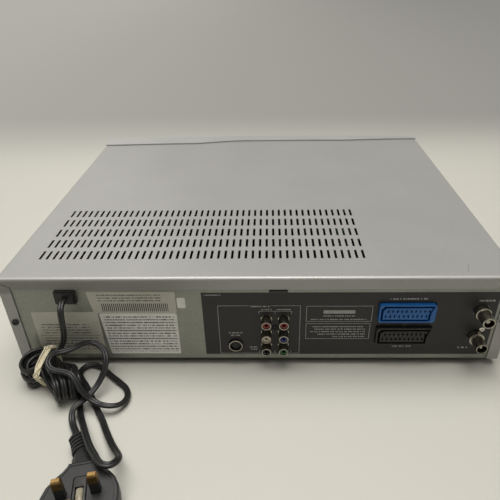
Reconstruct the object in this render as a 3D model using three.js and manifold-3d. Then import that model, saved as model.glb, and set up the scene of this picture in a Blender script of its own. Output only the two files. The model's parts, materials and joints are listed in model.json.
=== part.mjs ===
// A player for discs and video cassettes, in millimetres: +Z up, the front towards -Y,
// the sockets towards +Y.
// The origin is under the middle of the player, at the height of what its feet stand on.

import * as THREE from "three";
import { mergeVertices } from "three/addons/utils/BufferGeometryUtils.js";
import Module from "manifold-3d";

const wasm = await Module();
wasm.setup();

// Driving dimensions of the case. Depths are measured from the middle of the silver top.
const width = 430;
const rearY = 161.5;
const coverFrontY = -178.5;
const frontMidY = -194;
const frontEndY = -186;
const coverTopZ = 96.6;
const coverBottomZ = 8;
const gap = 0.3;
const overrun = 3;
const halfWidth = width / 2;

const cover = {
  sheet: 0.8,
  bend: 2.4,
  lip: 11.6,
  flange: 9.8,
  mitreInner: 8.9,
  mitreOuter: 4.2,
  mitreSlit: 0.5,
  screwInset: 5.2,
  screwZ: 51,
};
// Plain strips that the front leaves between its ends, its middle and what opens in it.
const doorEnd = 12.5;
const doorMiddle = 11.5;
const trayEnd = 27;
const windowEnd = 65;
const ventEnd = 25.8;
const vents = {
  columns: 48,
  rows: 5,
  pitchX: 6,
  pitchY: 19.9,
  slotWidth: 2.2,
  slotLength: 13.5,
  firstX: halfWidth - ventEnd,
  firstY: 45.6,
};
const base = {
  sheet: 1,
  underZ: 9,
  sideFlange: 12,
  frontFlange: 7,
  ribRise: 1.6,
  ribWidth: 9,
  ribShares: [-0.62, -0.2, 0.3, 0.72],
  towerRadius: 4,
  towerBore: 1.6,
};
const foot = {
  radius: 15,
  flare: 1.5,
  height: 8.7,
  recess: 3,
  recessRadius: 7,
  insetX: 38,
  frontY: -140,
  rearY: 122,
};
const rear = { sheet: 1, slack: 1.4, topSlack: 1.1 };
const screw = { shank: 1.3, hole: 1.65, head: 3, headHeight: 1.9, length: 7, slot: 0.8, slotDepth: 0.7 };

const front = {
  wall: 2.5,
  topWall: 1.2,
  corner: 6.6,
  bottomZ: 9,
  stations: 12,
};
// The moulded lip over the cover ends in a wave: places across as shares of the half width,
// from left to right.
const lipWave = {
  reach: 32.5,
  acrossShares: [-1, -0.82, -0.52, -0.42, -0.1, 0.18, 0.38, 0.62, 1],
  reachShares: [0.53, 0.53, 0.62, 0.6, 0.58, 0.6, 0.84, 0.9, 1],
};
const slotDoor = {
  midX: (doorEnd - doorMiddle - halfWidth) / 2,
  half: (halfWidth - doorEnd - doorMiddle) / 2,
  lowZ: 54,
  highZ: 88,
  thick: 2.2,
  hingeY: -182.2,
  hingeZ: 85.6,
};
const pivot = { radius: 1.3, bore: 1.7, length: 3.2, boss: 4, earThick: 2, earReach: 2.6, earDrop: 4 };
const trayHalf = 73;
const traySlot = { midX: halfWidth - trayEnd - trayHalf, half: trayHalf, lowZ: 56, highZ: 80 };
const windowHalf = 50;
const windowPane = {
  midX: halfWidth - windowEnd - windowHalf,
  half: windowHalf,
  lowZ: 26,
  highZ: 46,
  thick: 1.8,
};
const fit = 0.4;

const boardEnd = 9;
const frontBoard = {
  half: halfWidth - boardEnd,
  lowZ: 14,
  highZ: 50,
  thick: 1.6,
  frontY: -173.6,
  switchSize: 6,
  switchDepth: 3.4,
  displayDepth: 7,
  displayInset: 4,
  postRadius: 3,
};
const postShares = [
  [-1, 0.2],
  [-0.02, 0.2],
  [0.17, 0.86],
  [0.94, 0.2],
];
const button = { proud: 1.2, travel: 1.2, rim: 1.6, rimThick: 1, stem: 1.8, edge: 1.2 };
const powerEnd = 31;
const drawerKeyEnd = 39;
const keyShift = 7;
const keyPitch = 32;
const keysX = slotDoor.midX + keyShift;
const buttonPlaces = {
  power_button: { x: powerEnd - halfWidth, z: 31, halfX: 8, halfZ: 8 },
  eject_button: { x: keysX - keyPitch, z: 31, halfX: 11, halfZ: 4.5 },
  play_button: { x: keysX, z: 31, halfX: 11, halfZ: 4.5 },
  stop_button: { x: keysX + keyPitch, z: 31, halfX: 11, halfZ: 4.5 },
  open_close_button: { x: halfWidth - drawerKeyEnd, z: 36, halfX: 9, halfZ: 5 },
};

const mainBoard = { lowX: boardEnd - halfWidth, highX: 58, lowY: 45, highY: 156, topZ: 18, thick: 1.6 };
const powerBoardEnd = 10;
const powerBoard = { lowX: 70, highX: halfWidth - powerBoardEnd, lowY: 45, highY: 150, topZ: 18, thick: 1.6 };
const boardInset = 7;

// Sockets on the rear panel, in the order of the photographed panel from its cord end.
const bushEnd = 55;
const bushDown = 18.6;
const cordBush = {
  x: halfWidth - bushEnd,
  z: coverTopZ - bushDown,
  halfX: 9.1,
  halfZ: 6.6,
  proud: 4.3,
  neckX: 7.6,
  neckZ: 5.2,
  inside: 11,
  edge: 1.4,
};
const sVideo = {
  x: 19,
  z: 23.4,
  radius: 6.3,
  hole: 6.8,
  proud: 1.6,
  ringInner: 4.7,
  core: 3.7,
  depth: 5,
  bodyHalf: 7.6,
  bodyDepth: 13,
  pin: 0.55,
  pinRing: 2.2,
};
const jack = {
  columnX: [-8.3, -23.2],
  rowZ: [52.2, 37.2, 22.6],
  barrel: 4.2,
  bore: 3.45,
  hole: 5.2,
  proud: 9,
  inside: 8,
  sleeve: 3.1,
  sleeveBore: 1.7,
  recess: 0.8,
  blockDepth: 19,
  blockSide: 7.5,
  stripThick: 0.5,
  stripInset: 1,
};
const scartEnd = 87.7;
const scart = {
  x: scartEnd - halfWidth,
  lowerZ: 35.3,
  upperZ: 60.4,
  half: 23.8,
  halfHigh: 9.4,
  proud: 3,
  wall: 1.5,
  groove: 1.9,
  depth: 6,
  key: 2.6,
  backLip: 1.7,
  backDepth: 17,
  pins: 10,
  pinPitch: 3.81,
  rowPitch: 5.3,
  pinWide: 1.3,
  pinHigh: 2.6,
  pinDepth: 3,
};
const aerialEnd = 25;
const aerial = {
  x: aerialEnd - halfWidth,
  inputZ: 61.2,
  outputZ: 33.6,
  reach: 17,
  hole: 7,
  canHalf: 16,
  canTopZ: 77,
  canDepth: 58,
  lidInset: 3,
};
const aerialPlug = {
  base: 6.5,
  baseLong: 5,
  barrel: 5.4,
  outBarrel: 4.75,
  bore: 4.15,
  boreDeep: 11,
  pin: 1.2,
  socket: 1.6,
};

const deckEnd = 11;
const deckMiddle = 10;
const deck = {
  lowX: deckEnd - halfWidth,
  highX: -deckMiddle,
  lowY: -150,
  highY: 32,
  plateZ: 24,
  sheet: 1.2,
  sideTopZ: 89,
  sideRearY: -48,
  leg: 4,
  legInset: 10,
};
const drum = {
  x: slotDoor.midX,
  y: -8,
  radius: 31,
  lowZ: 27,
  splitZ: 42,
  topZ: 60,
  tilt: 5.6,
  shaft: 3,
  hub: 9,
  windowHigh: 1.6,
};
const reel = {
  spread: 46,
  y: -98,
  flange: 18,
  flangeZ: 27,
  flangeThick: 3,
  hub: 8.2,
  hubTop: 42,
  pin: 2,
  fins: 3,
};
const capstanEnd = 42;
const capstan = {
  x: deck.highX - capstanEnd,
  y: -28,
  shaft: 1.6,
  topZ: 62,
  flywheel: 22,
  flywheelZ: 13.5,
  flywheelThick: 6,
  boss: 5,
  bossTop: 37,
};
const pinchEnd = 26;
const pinchPivotEnd = 14;
const pinch = {
  x: deck.highX - pinchEnd,
  y: -52,
  roller: 7,
  rollerLowZ: 42,
  rollerTopZ: 53,
  pivotX: deck.highX - pinchPivotEnd,
  pivotY: -14,
  arm: 4,
  armZ: 38,
  pin: 2,
};
const carriage = {
  wall: 0.8,
  lowZ: 56,
  highZ: 84.5,
  frontY: -146,
  rearY: -88,
  travel: 38,
  pinRadius: 1.5,
  pinZ: 77,
  pinInset: 10,
  pinPitch: 30,
  lipX: 16,
};
const motorEnd = 22;
const motor = { x: deck.lowX + motorEnd, y: 8, radius: 12, length: 26 };

const loader = {
  midX: traySlot.midX,
  frontY: -171.4,
  rearY: 4,
  floorZ: 44,
  floorThick: 2,
  wall: 2.5,
  railZ: 60,
  railThick: 2,
  railReach: 2.6,
  topZ: 75,
  leg: 5,
  bridgeHalf: 15,
  bridgeZ: 76,
  bridgeThick: 2,
};
const tray = {
  half: traySlot.half - 1.5,
  lowZ: 62.3,
  thick: 6,
  frontY: -183.5,
  rearY: -8,
  wellY: -110,
  wellRadius: traySlot.half - 12,
  wellDeep: 3.6,
  smallWell: 41,
  smallDeep: 1,
  slotHalf: 23,
  slotFront: 20,
  travel: 142,
};
const rackSide = 53;
const rack = { pitchX: loader.midX + rackSide, module: 2, depth: 5, back: 3, teeth: 24, backlash: 0.6 };
const pinion = { teeth: 12, y: -160, hub: 4, bore: 2.6, pin: 2.2, lowZ: 57.6, highZ: 61.6 };
const traverse = {
  half: 36,
  frontY: -136,
  rearY: -16,
  topZ: 50.6,
  thick: 2,
  hingeY: -20,
  hingeZ: 50,
  pin: 1.6,
  pinLong: 3,
  lift: 4.5,
  windowHalf: 20,
  rod: 1.5,
  rodX: 28,
};
const turntable = {
  radius: 14,
  lowZ: 55,
  thick: 2,
  hub: 7.2,
  topZ: 60.5,
  shaft: 1.2,
  motor: 12,
  motorLong: 3,
  motorFloor: 1,
};
const sled = {
  half: 19,
  frontY: -90,
  length: 34,
  lowZ: 51.5,
  thick: 5.5,
  lens: 3.6,
  lensHigh: 1.6,
  travel: 32,
};
const clamp = { flange: 16, neck: 11, lowZ: 72, flangeThick: 2, neckHigh: 7.4, cap: 14, capThick: 1.6 };

// The flat mains lead leaves its bush, drops to a tied hank, lies in loose loops and ends in its plug.
// Points of its routes are [across from the bush, beyond the rear face, height].
const lead = {
  halfWide: 2.6,
  halfThin: 1.6,
  groove: 1.2,
  shoulder: 1.5,
  joint: 0.3,
  straight: 5.2,
  dropSteps: 12,
  tailSteps: 76,
};
const dropRoute = [
  [0, 3.5, cordBush.z],
  [0, 8.7, cordBush.z],
  [-0.7, 15, 75.5],
  [-1.3, 18.3, 69],
  [-0.7, 18.8, 61],
  [0.8, 18, 52.5],
  [3, 17.8, 45],
  [6.6, 17.8, 38],
  [11.3, 16.8, 32],
];
const tailRoute = [
  [-11.3, 42.4, 3],
  [-13.5, 50.2, 3.2],
  [-17.1, 59.4, 5],
  [-23, 70.5, 9.5],
  [-30.3, 83.5, 15.5],
  [-37.1, 95.3, 20],
  [-43.5, 105.4, 23],
  [-49.4, 112.9, 25],
  [-53, 117.8, 26.2],
  [-57.2, 120.9, 26.7],
  [-62, 121, 26.3],
  [-65, 117.2, 24.4],
  [-65, 111.6, 21],
  [-62.1, 105.4, 16.4],
  [-57.5, 98.5, 11.8],
  [-52, 90.5, 8],
  [-42.5, 75.4, 4.6],
  [-36.6, 65.1, 3],
  [-30.2, 55.8, 3],
  [-24.7, 47.3, 3],
  [-20.2, 41, 3],
  [-16.2, 34.5, 3],
  [-11.4, 28, 3],
  [-6, 21.5, 3],
  [-1.8, 15.2, 3],
  [-1.4, 9, 3],
  [-5, 4.2, 3],
  [-11, 3, 3],
  [-17.5, 5.6, 3],
  [-24.5, 11.3, 3],
  [-32, 17.8, 3],
  [-39.3, 23.7, 3],
  [-47.4, 31.6, 3],
  [-50.7, 40.3, 3.5],
  [-49.3, 48.4, 5],
  [-44.4, 53.8, 7.5],
  [-37.8, 55.1, 9],
  [-30.1, 53, 9.5],
  [-23.7, 50.7, 12],
  [-19.3, 49.2, 17],
  [-15.6, 47, 22.5],
  [-12.2, 43.8, 27],
  [-8.5, 41.2, 29.8],
  [-2.8, 39, 30.6],
  [3.5, 38, 31],
  [9, 36.4, 31.7],
  [12.6, 33, 33.2],
  [13.2, 28.6, 35.3],
  [10.3, 25.2, 37.2],
  [5.5, 24.3, 38.2],
  [0.2, 22.3, 38.2],
  [-4.7, 18, 37.6],
  [-9.2, 11.6, 36],
  [-14.3, 7.1, 34],
  [-20, 7.1, 32],
  [-25.8, 10.7, 30],
  [-30.2, 18.1, 26.5],
  [-30.1, 24.4, 21],
  [-27.7, 30.1, 15],
  [-24, 36.5, 10.5],
  [-20.5, 44, 9.3],
  [-17.6, 49.9, 9.6],
  [-14.3, 54.4, 9.6],
  [-11.8, 58.7, 8.3],
  [-11.6, 63.2, 5.8],
  [-13.6, 68.2, 4.4],
  [-17.4, 74.5, 4.8],
  [-21.6, 80.7, 6.8],
];
const hank = {
  rightHalf: 30,
  leftHalf: 11,
  fold: 7,
  ringPitch: 4.3,
  layerPitch: 5.7,
  layers: 4,
  layerTurns: 1.125,
  climbTurns: 0.4,
  turnSteps: 24,
  corner: 1.3,
  waistHalf: 3.4,
  leftGrowth: 1.2,
  rightGrowth: 0.98,
  leftShift: 2,
  waistAcross: 20.5,
  waistBeyond: 18.5,
  rightHeading: -60,
  leftHeading: -14,
  leftTwist: 4,
  rightTwist: 84,
  startAlong: 5,
  floorGap: 0.3,
  waistLift: 2.8,
  waistReach: 14,
};
const band = { halfLong: 1.3, halfShort: 0.65, reach: 3, clear: 0.3, steps: 36, sides: 6, twists: 3 };
const plug = {
  across: -45.5,
  beyond: 137.7,
  yaw: 12.5,
  faceZ: 20.3,
  middleY: 4,
  pinApart: 22.2,
  pinHalfWide: 3.175,
  pinHalfThick: 1.975,
  pinLong: 17.7,
  earthHalfLong: 3.975,
  earthLong: 22.7,
  pinSunk: 4,
  pinPoint: 0.7,
  fuseHalfX: 4.6,
  fuseHalfY: 12.5,
  fuseProud: 0.5,
  fuseDeep: 3,
  fuseCorner: 1.2,
  rimInset: 3,
  rimWidth: 0.8,
  rimDeep: 0.5,
};
const plugX = cordBush.x + plug.across;
// Half of the plug's outline, from its lead end to its far end, and how far each level is drawn in.
const plugOutline = [
  [9.5, -25],
  [10.5, -22.6],
  [13.6, -18.6],
  [18.8, -14],
  [22.9, -8.6],
  [25.4, -2],
  [26, 4.5],
  [25, 12],
  [22.6, 20],
  [18.8, 26.6],
  [13.2, 31.3],
  [6.8, 33.2],
];
const plugLevels = [
  [0, 7],
  [1.2, 3.4],
  [4, 1.2],
  [10, 0],
  [18.6, 0],
  [19.8, 0.5],
  [plug.faceZ, 1.6],
];
// The ribbed relief bends from the plug's body to the lead: [x, y, z, half width, half height].
const reliefRoute = [
  [0, -20, 10.4, 10, 8],
  [0.9, -29, 10, 9.4, 7.4],
  [3, -39.5, 9.2, 8.4, 6.4],
  [6.1, -48.6, 8.2, 7.5, 5.4],
  [9.7, -57, 7.4, 6.9, 4.6],
];
const relief = { ribs: 5, ribsFromShare: 0.5, ribShare: 0.055, waistShare: 0.82, sides: 10, plainRings: 4 };

// Helpers that turn three.js geometry into solids and back.
const weld = 1e-4;

function solidOf(geometry) {
  const bare = geometry.index ? geometry.toNonIndexed() : geometry.clone();
  bare.deleteAttribute("normal");
  bare.deleteAttribute("uv");
  const merged = mergeVertices(bare, weld);
  const corners = Uint32Array.from(merged.index.array);
  const positions = merged.attributes.position.array;
  const mesh = new wasm.Mesh({ numProp: 3, vertProperties: positions, triVerts: corners });
  const made = new wasm.Manifold(mesh);
  if (made.volume() > 0) return made;
  for (let i = 0; i < corners.length; i += 3) [corners[i], corners[i + 1]] = [corners[i + 1], corners[i]];
  return new wasm.Manifold(new wasm.Mesh({ numProp: 3, vertProperties: positions, triVerts: corners }));
}

function join(solids) {
  return solids.reduce((sum, next) => sum.add(next));
}

function box(lowX, highX, lowY, highY, lowZ, highZ) {
  const geometry = new THREE.BoxGeometry(highX - lowX, highY - lowY, highZ - lowZ);
  geometry.translate((lowX + highX) / 2, (lowY + highY) / 2, (lowZ + highZ) / 2);
  return solidOf(geometry);
}

// A shape drawn in X and Y, raised from lowZ to highZ.
function raised(shape, lowZ, highZ, steps = 4) {
  const pull = { depth: highZ - lowZ, bevelEnabled: false, curveSegments: steps };
  const geometry = new THREE.ExtrudeGeometry(shape, pull);
  geometry.translate(0, 0, lowZ);
  return solidOf(geometry);
}

// A shape drawn in X and Z, run along Y.
function alongY(shape, lowY, highY, steps = 4) {
  const pull = { depth: highY - lowY, bevelEnabled: false, curveSegments: steps };
  const geometry = new THREE.ExtrudeGeometry(shape, pull);
  geometry.rotateX(Math.PI / 2);
  geometry.translate(0, highY, 0);
  return solidOf(geometry);
}

// A shape drawn in Y and Z, run along X.
function alongX(shape, lowX, highX, steps = 4) {
  const pull = { depth: highX - lowX, bevelEnabled: false, curveSegments: steps };
  const geometry = new THREE.ExtrudeGeometry(shape, pull);
  const toX = new THREE.Matrix4().makeBasis(
    new THREE.Vector3(0, 1, 0),
    new THREE.Vector3(0, 0, 1),
    new THREE.Vector3(1, 0, 0),
  );
  geometry.applyMatrix4(toX);
  geometry.translate(lowX, 0, 0);
  return solidOf(geometry);
}

function roundedShape(lowX, highX, lowY, highY, radius) {
  const shape = new THREE.Shape();
  const quarter = Math.PI / 2;
  shape.absarc(highX - radius, highY - radius, radius, 0, quarter);
  shape.absarc(lowX + radius, highY - radius, radius, quarter, 2 * quarter);
  shape.absarc(lowX + radius, lowY + radius, radius, 2 * quarter, 3 * quarter);
  shape.absarc(highX - radius, lowY + radius, radius, 3 * quarter, 4 * quarter);
  return shape;
}

function polygon(points) {
  return new THREE.Shape(points.map(([x, y]) => new THREE.Vector2(x, y)));
}

function rodZ(x, y, lowZ, highZ, radius, sides = 12) {
  const geometry = new THREE.CylinderGeometry(radius, radius, highZ - lowZ, sides);
  geometry.rotateX(Math.PI / 2);
  geometry.translate(x, y, (lowZ + highZ) / 2);
  return solidOf(geometry);
}

function rodY(x, z, lowY, highY, radius, sides = 12) {
  const geometry = new THREE.CylinderGeometry(radius, radius, highY - lowY, sides);
  geometry.translate(x, (lowY + highY) / 2, z);
  return solidOf(geometry);
}

function rodX(y, z, lowX, highX, radius, sides = 12) {
  const geometry = new THREE.CylinderGeometry(radius, radius, highX - lowX, sides);
  geometry.rotateZ(Math.PI / 2);
  geometry.translate((lowX + highX) / 2, y, z);
  return solidOf(geometry);
}

// A profile of [radius, height] points turned about the vertical through (x, y).
function turned(x, y, profile, sides = 18) {
  const geometry = new THREE.LatheGeometry(profile.map(([r, h]) => new THREE.Vector2(r, h)), sides);
  geometry.rotateX(Math.PI / 2);
  geometry.translate(x, y, 0);
  return solidOf(geometry);
}

// A profile of [radius, depth] points turned about the line along Y through (x, z).
function turnedY(x, z, profile, sides = 18) {
  const geometry = new THREE.LatheGeometry(profile.map(([r, h]) => new THREE.Vector2(r, h)), sides);
  geometry.translate(x, 0, z);
  return solidOf(geometry);
}

const player = new THREE.Group();

function add(name, solid, look) {
  const made = solid.getMesh();
  const geometry = new THREE.BufferGeometry();
  geometry.setAttribute("position", new THREE.BufferAttribute(made.vertProperties, 3));
  geometry.setIndex(new THREE.BufferAttribute(made.triVerts, 1));
  geometry.computeVertexNormals();
  const mesh = new THREE.Mesh(geometry, look);
  mesh.name = name;
  player.add(mesh);
  return mesh;
}

function paint(color, roughness, metalness) {
  return new THREE.MeshStandardMaterial({ color, roughness, metalness });
}

const looks = {
  silver: paint(0xa9a8a4, 0.42, 0.55),
  galvanised: paint(0x8d9189, 0.45, 0.8),
  frontPlastic: paint(0xa6a7a6, 0.4, 0.1),
  darkWindow: paint(0x14161a, 0.12, 0),
  blackPlastic: paint(0x1c1b1d, 0.5, 0),
  greyPlastic: paint(0x3d3d40, 0.5, 0),
  rubber: paint(0x202020, 0.85, 0),
  screwSteel: paint(0x2b2b2d, 0.4, 0.7),
  nickel: paint(0xb9b4a8, 0.25, 0.95),
  steel: paint(0xa7aaac, 0.35, 0.9),
  aluminium: paint(0xc4c6c8, 0.3, 0.95),
  brass: paint(0xc79a45, 0.3, 0.9),
  blue: paint(0x2a68b0, 0.45, 0),
  red: paint(0x8c1d1f, 0.45, 0),
  white: paint(0xdad5c5, 0.45, 0),
  green: paint(0x2c6b3a, 0.45, 0),
  jackBlue: paint(0x2b2f7c, 0.45, 0),
  board: paint(0x7d6a3a, 0.6, 0),
  greenBoard: paint(0x2c5a35, 0.6, 0),
  whitePlastic: paint(0xcfcdc4, 0.5, 0),
  band: paint(0xcdbf9b, 0.75, 0),
};

// The folded sheet cover: top, two sides, a lip across the rear and a flange down each rear edge.
function foldedBlock(inset) {
  const bend = cover.bend - inset;
  const deepZ = coverBottomZ - 2 * cover.bend;
  const across = roundedShape(-halfWidth + inset, halfWidth - inset, deepZ, coverTopZ - inset, bend);
  const along = roundedShape(coverFrontY - 2 * cover.bend, rearY - inset, deepZ, coverTopZ - inset, bend);
  return alongY(across, coverFrontY - 2 * cover.bend, rearY + overrun, 2).intersect(
    alongX(along, -halfWidth - overrun, halfWidth + overrun, 2),
  );
}

function makeCover() {
  const farX = halfWidth + overrun;
  const flangeX = halfWidth - cover.flange;
  const lipZ = coverTopZ - cover.lip;
  const insideY = rearY - 2 * cover.bend;
  let sheet = foldedBlock(0).subtract(foldedBlock(cover.sheet));
  sheet = sheet.subtract(box(-farX, farX, coverFrontY - overrun * 2, coverFrontY, 0, coverTopZ + overrun));
  sheet = sheet.subtract(box(-farX, farX, coverFrontY - overrun, rearY + overrun, -overrun, coverBottomZ));
  sheet = sheet.subtract(box(-flangeX, flangeX, insideY, rearY + overrun, 0, lipZ));
  for (const side of [-1, 1]) {
    const innerZ = coverTopZ - cover.mitreInner;
    const outerZ = coverTopZ - cover.mitreOuter;
    const slit = polygon([
      [side * (flangeX - cover.mitreSlit), innerZ - cover.mitreSlit],
      [side * farX, outerZ + overrun * (outerZ - innerZ) / cover.flange - cover.mitreSlit],
      [side * farX, outerZ + overrun * (outerZ - innerZ) / cover.flange],
      [side * (flangeX - cover.mitreSlit), innerZ],
    ]);
    const slitY = rearY - cover.bend;
    sheet = sheet.subtract(alongY(slit, slitY, rearY + overrun).intersect(
      box(-farX, farX, slitY, rearY + overrun, 0, coverTopZ),
    ));
    sheet = sheet.subtract(box(
      Math.min(side * flangeX, side * (flangeX - cover.mitreSlit)),
      Math.max(side * flangeX, side * (flangeX - cover.mitreSlit)),
      insideY, rearY + overrun, 0, innerZ,
    ));
    sheet = sheet.subtract(
      rodY(side * (halfWidth - cover.screwInset), cover.screwZ, insideY, rearY + overrun, screw.hole, 12),
    );
  }
  return sheet.subtract(ventSlots());
}

function ventSlots() {
  const slots = [];
  for (let row = 0; row < vents.rows; row += 1) {
    for (let column = 0; column < vents.columns; column += 1) {
      const x = vents.firstX - column * vents.pitchX;
      const y = vents.firstY + row * vents.pitchY;
      slots.push(box(
        x - vents.slotWidth / 2, x + vents.slotWidth / 2,
        y - vents.slotLength / 2, y + vents.slotLength / 2,
        coverTopZ - overrun, coverTopZ + overrun,
      ));
    }
  }
  return wasm.Manifold.union(slots);
}

function coverScrew(side) {
  const x = side * (halfWidth - cover.screwInset);
  const headY = rearY + gap;
  const profile = [
    [0, headY - screw.length],
    [screw.shank, headY - screw.length],
    [screw.shank, headY],
    [screw.head, headY],
    [screw.head, headY + screw.headHeight * 0.5],
    [screw.head * 0.7, headY + screw.headHeight],
    [0, headY + screw.headHeight],
  ];
  const slotY = headY + screw.headHeight - screw.slotDepth;
  const half = screw.slot / 2;
  const long = screw.head * 0.55;
  const cross = box(x - half, x + half, slotY, slotY + overrun, cover.screwZ - long, cover.screwZ + long)
    .add(box(x - long, x + long, slotY, slotY + overrun, cover.screwZ - half, cover.screwZ + half));
  return turnedY(x, cover.screwZ, profile, 12).subtract(cross);
}

// The pan under everything, with stiffening ribs and hollow towers that carry the boards.
const floorTopZ = base.underZ + base.sheet;
const panHalf = halfWidth - cover.sheet - gap;
const panRearY = rearY - cover.sheet - gap - rear.sheet - gap;
const towerPlaces = [mainBoard, powerBoard].flatMap((board) => [
  [board.lowX + boardInset, board.lowY + boardInset],
  [board.highX - boardInset, board.lowY + boardInset],
  [board.lowX + boardInset, board.highY - boardInset * 4],
  [board.highX - boardInset, board.highY - boardInset * 4],
]);

function makeBasePan() {
  const topZ = mainBoard.topZ - mainBoard.thick - gap;
  const parts = [
    box(-panHalf, panHalf, coverFrontY, panRearY, base.underZ, floorTopZ),
    box(-panHalf, -panHalf + base.sheet, coverFrontY, panRearY, base.underZ, floorTopZ + base.sideFlange),
    box(panHalf - base.sheet, panHalf, coverFrontY, panRearY, base.underZ, floorTopZ + base.sideFlange),
    box(-panHalf, panHalf, coverFrontY, coverFrontY + base.sheet, base.underZ, floorTopZ + base.frontFlange),
  ];
  for (const [x, y] of towerPlaces) {
    parts.push(turned(x, y, [
      [0, base.underZ],
      [base.towerRadius + base.sheet, base.underZ],
      [base.towerRadius, topZ],
      [0, topZ],
    ], 10));
  }
  let pan = join(parts);
  for (const [x, y] of towerPlaces) {
    pan = pan.subtract(turned(x, y, [
      [0, base.underZ - overrun],
      [base.towerRadius, base.underZ - overrun],
      [base.towerRadius - base.sheet, topZ - base.sheet],
      [0, topZ - base.sheet],
    ], 10));
    pan = pan.subtract(rodZ(x, y, base.underZ, topZ + overrun, base.towerBore, 8));
  }
  for (const share of base.ribShares) {
    const x = share * panHalf;
    const half = base.ribWidth / 2;
    const ends = [coverFrontY + base.frontFlange * 4, mainBoard.lowY - base.ribWidth];
    pan = pan.add(box(x - half, x + half, ends[0], ends[1], base.underZ, floorTopZ + base.ribRise));
    pan = pan.subtract(box(
      x - half + base.sheet, x + half - base.sheet,
      ends[0] + base.sheet, ends[1] - base.sheet,
      base.underZ - overrun, base.underZ + base.ribRise,
    ));
  }
  return pan;
}

function makeFoot(side, y) {
  const x = side * (halfWidth - foot.insetX);
  return turned(x, y, [
    [0, foot.recess],
    [foot.recessRadius, foot.recess],
    [foot.recessRadius, 0],
    [foot.radius, 0],
    [foot.radius, foot.height * 0.3],
    [foot.radius - foot.flare, foot.height],
    [0, foot.height],
  ], 16);
}

// The flat rear panel, cut round every socket that passes it.
const panelOutY = rearY - cover.sheet - gap;
const panelInY = panelOutY - rear.sheet;
const panelHalf = panHalf - gap;

function makeRearPanel() {
  const topZ = coverTopZ - cover.sheet - rear.topSlack;
  let panel = box(-panelHalf, panelHalf, panelInY, panelOutY, coverBottomZ, topZ);
  const cutY = [panelInY - overrun, panelOutY + overrun];
  for (const x of jack.columnX) {
    for (const z of jack.rowZ) panel = panel.subtract(rodY(x, z, cutY[0], cutY[1], jack.hole, 16));
  }
  panel = panel.subtract(rodY(sVideo.x, sVideo.z, cutY[0], cutY[1], sVideo.hole, 18));
  for (const z of [aerial.inputZ, aerial.outputZ]) {
    panel = panel.subtract(rodY(aerial.x, z, cutY[0], cutY[1], aerial.hole, 18));
  }
  for (const z of [scart.lowerZ, scart.upperZ]) {
    panel = panel.subtract(box(
      scart.x - scart.half - gap, scart.x + scart.half + gap, cutY[0], cutY[1],
      z - scart.halfHigh - gap, z + scart.halfHigh + gap,
    ));
  }
  panel = panel.subtract(box(
    cordBush.x - cordBush.neckX - gap, cordBush.x + cordBush.neckX + gap, cutY[0], cutY[1],
    cordBush.z - cordBush.neckZ - gap, cordBush.z + cordBush.neckZ + gap,
  ));
  for (const side of [-1, 1]) {
    panel = panel.subtract(
      rodY(side * (halfWidth - cover.screwInset), cover.screwZ, cutY[0], cutY[1], screw.hole, 12),
    );
  }
  return panel;
}

// The front moulding, bowed across and rounded at its ends.
function bowY(x) {
  return frontMidY + (frontEndY - frontMidY) * (x / halfWidth) ** 2;
}

function frontShape(inset, backY) {
  const half = halfWidth - inset;
  const corner = front.corner - inset;
  const shape = new THREE.Shape();
  shape.moveTo(-half, backY);
  shape.lineTo(-half, bowY(half) + inset + corner);
  shape.quadraticCurveTo(-half, bowY(half) + inset, -half + corner, bowY(half - corner) + inset);
  for (let i = 1; i <= front.stations; i += 1) {
    const x = (half - corner) * (2 * i / front.stations - 1);
    shape.lineTo(x, bowY(x) + inset);
  }
  shape.quadraticCurveTo(half, bowY(half) + inset, half, bowY(half) + inset + corner);
  shape.lineTo(half, backY);
  shape.closePath();
  return shape;
}

const frontBackY = coverFrontY - gap;
const frontTopZ = coverTopZ + gap + front.topWall;

function lipShape() {
  const shape = frontShape(0, frontEndY + front.corner + overrun);
  const points = lipWave.acrossShares.map((share, i) => new THREE.Vector2(
    share * halfWidth,
    frontMidY + lipWave.reach * lipWave.reachShares[i],
  ));
  const wave = new THREE.SplineCurve(points);
  const low = shape.extractPoints(4).shape;
  const rim = wave.getPoints(front.stations * 2);
  const outline = low.filter((p) => p.y < frontEndY + front.corner + overrun - gap);
  return new THREE.Shape([...outline, ...rim.reverse()]);
}

// The moulding's wall between two depths, for what is cut out of it or sits in it.
function bowedWall(outer, inner, lowX, highX, lowZ, highZ) {
  const backY = frontEndY + overrun * 4;
  return raised(frontShape(outer, backY), lowZ, highZ, 3)
    .subtract(raised(frontShape(inner, backY + overrun), lowZ - overrun, highZ + overrun, 3))
    .intersect(box(lowX, highX, frontMidY - overrun, backY, lowZ, highZ));
}

function slotBox(slot, slack) {
  return box(
    slot.midX - slot.half - slack, slot.midX + slot.half + slack,
    frontMidY - overrun, frontBackY + overrun,
    slot.lowZ - slack, slot.highZ + slack,
  );
}

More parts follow.
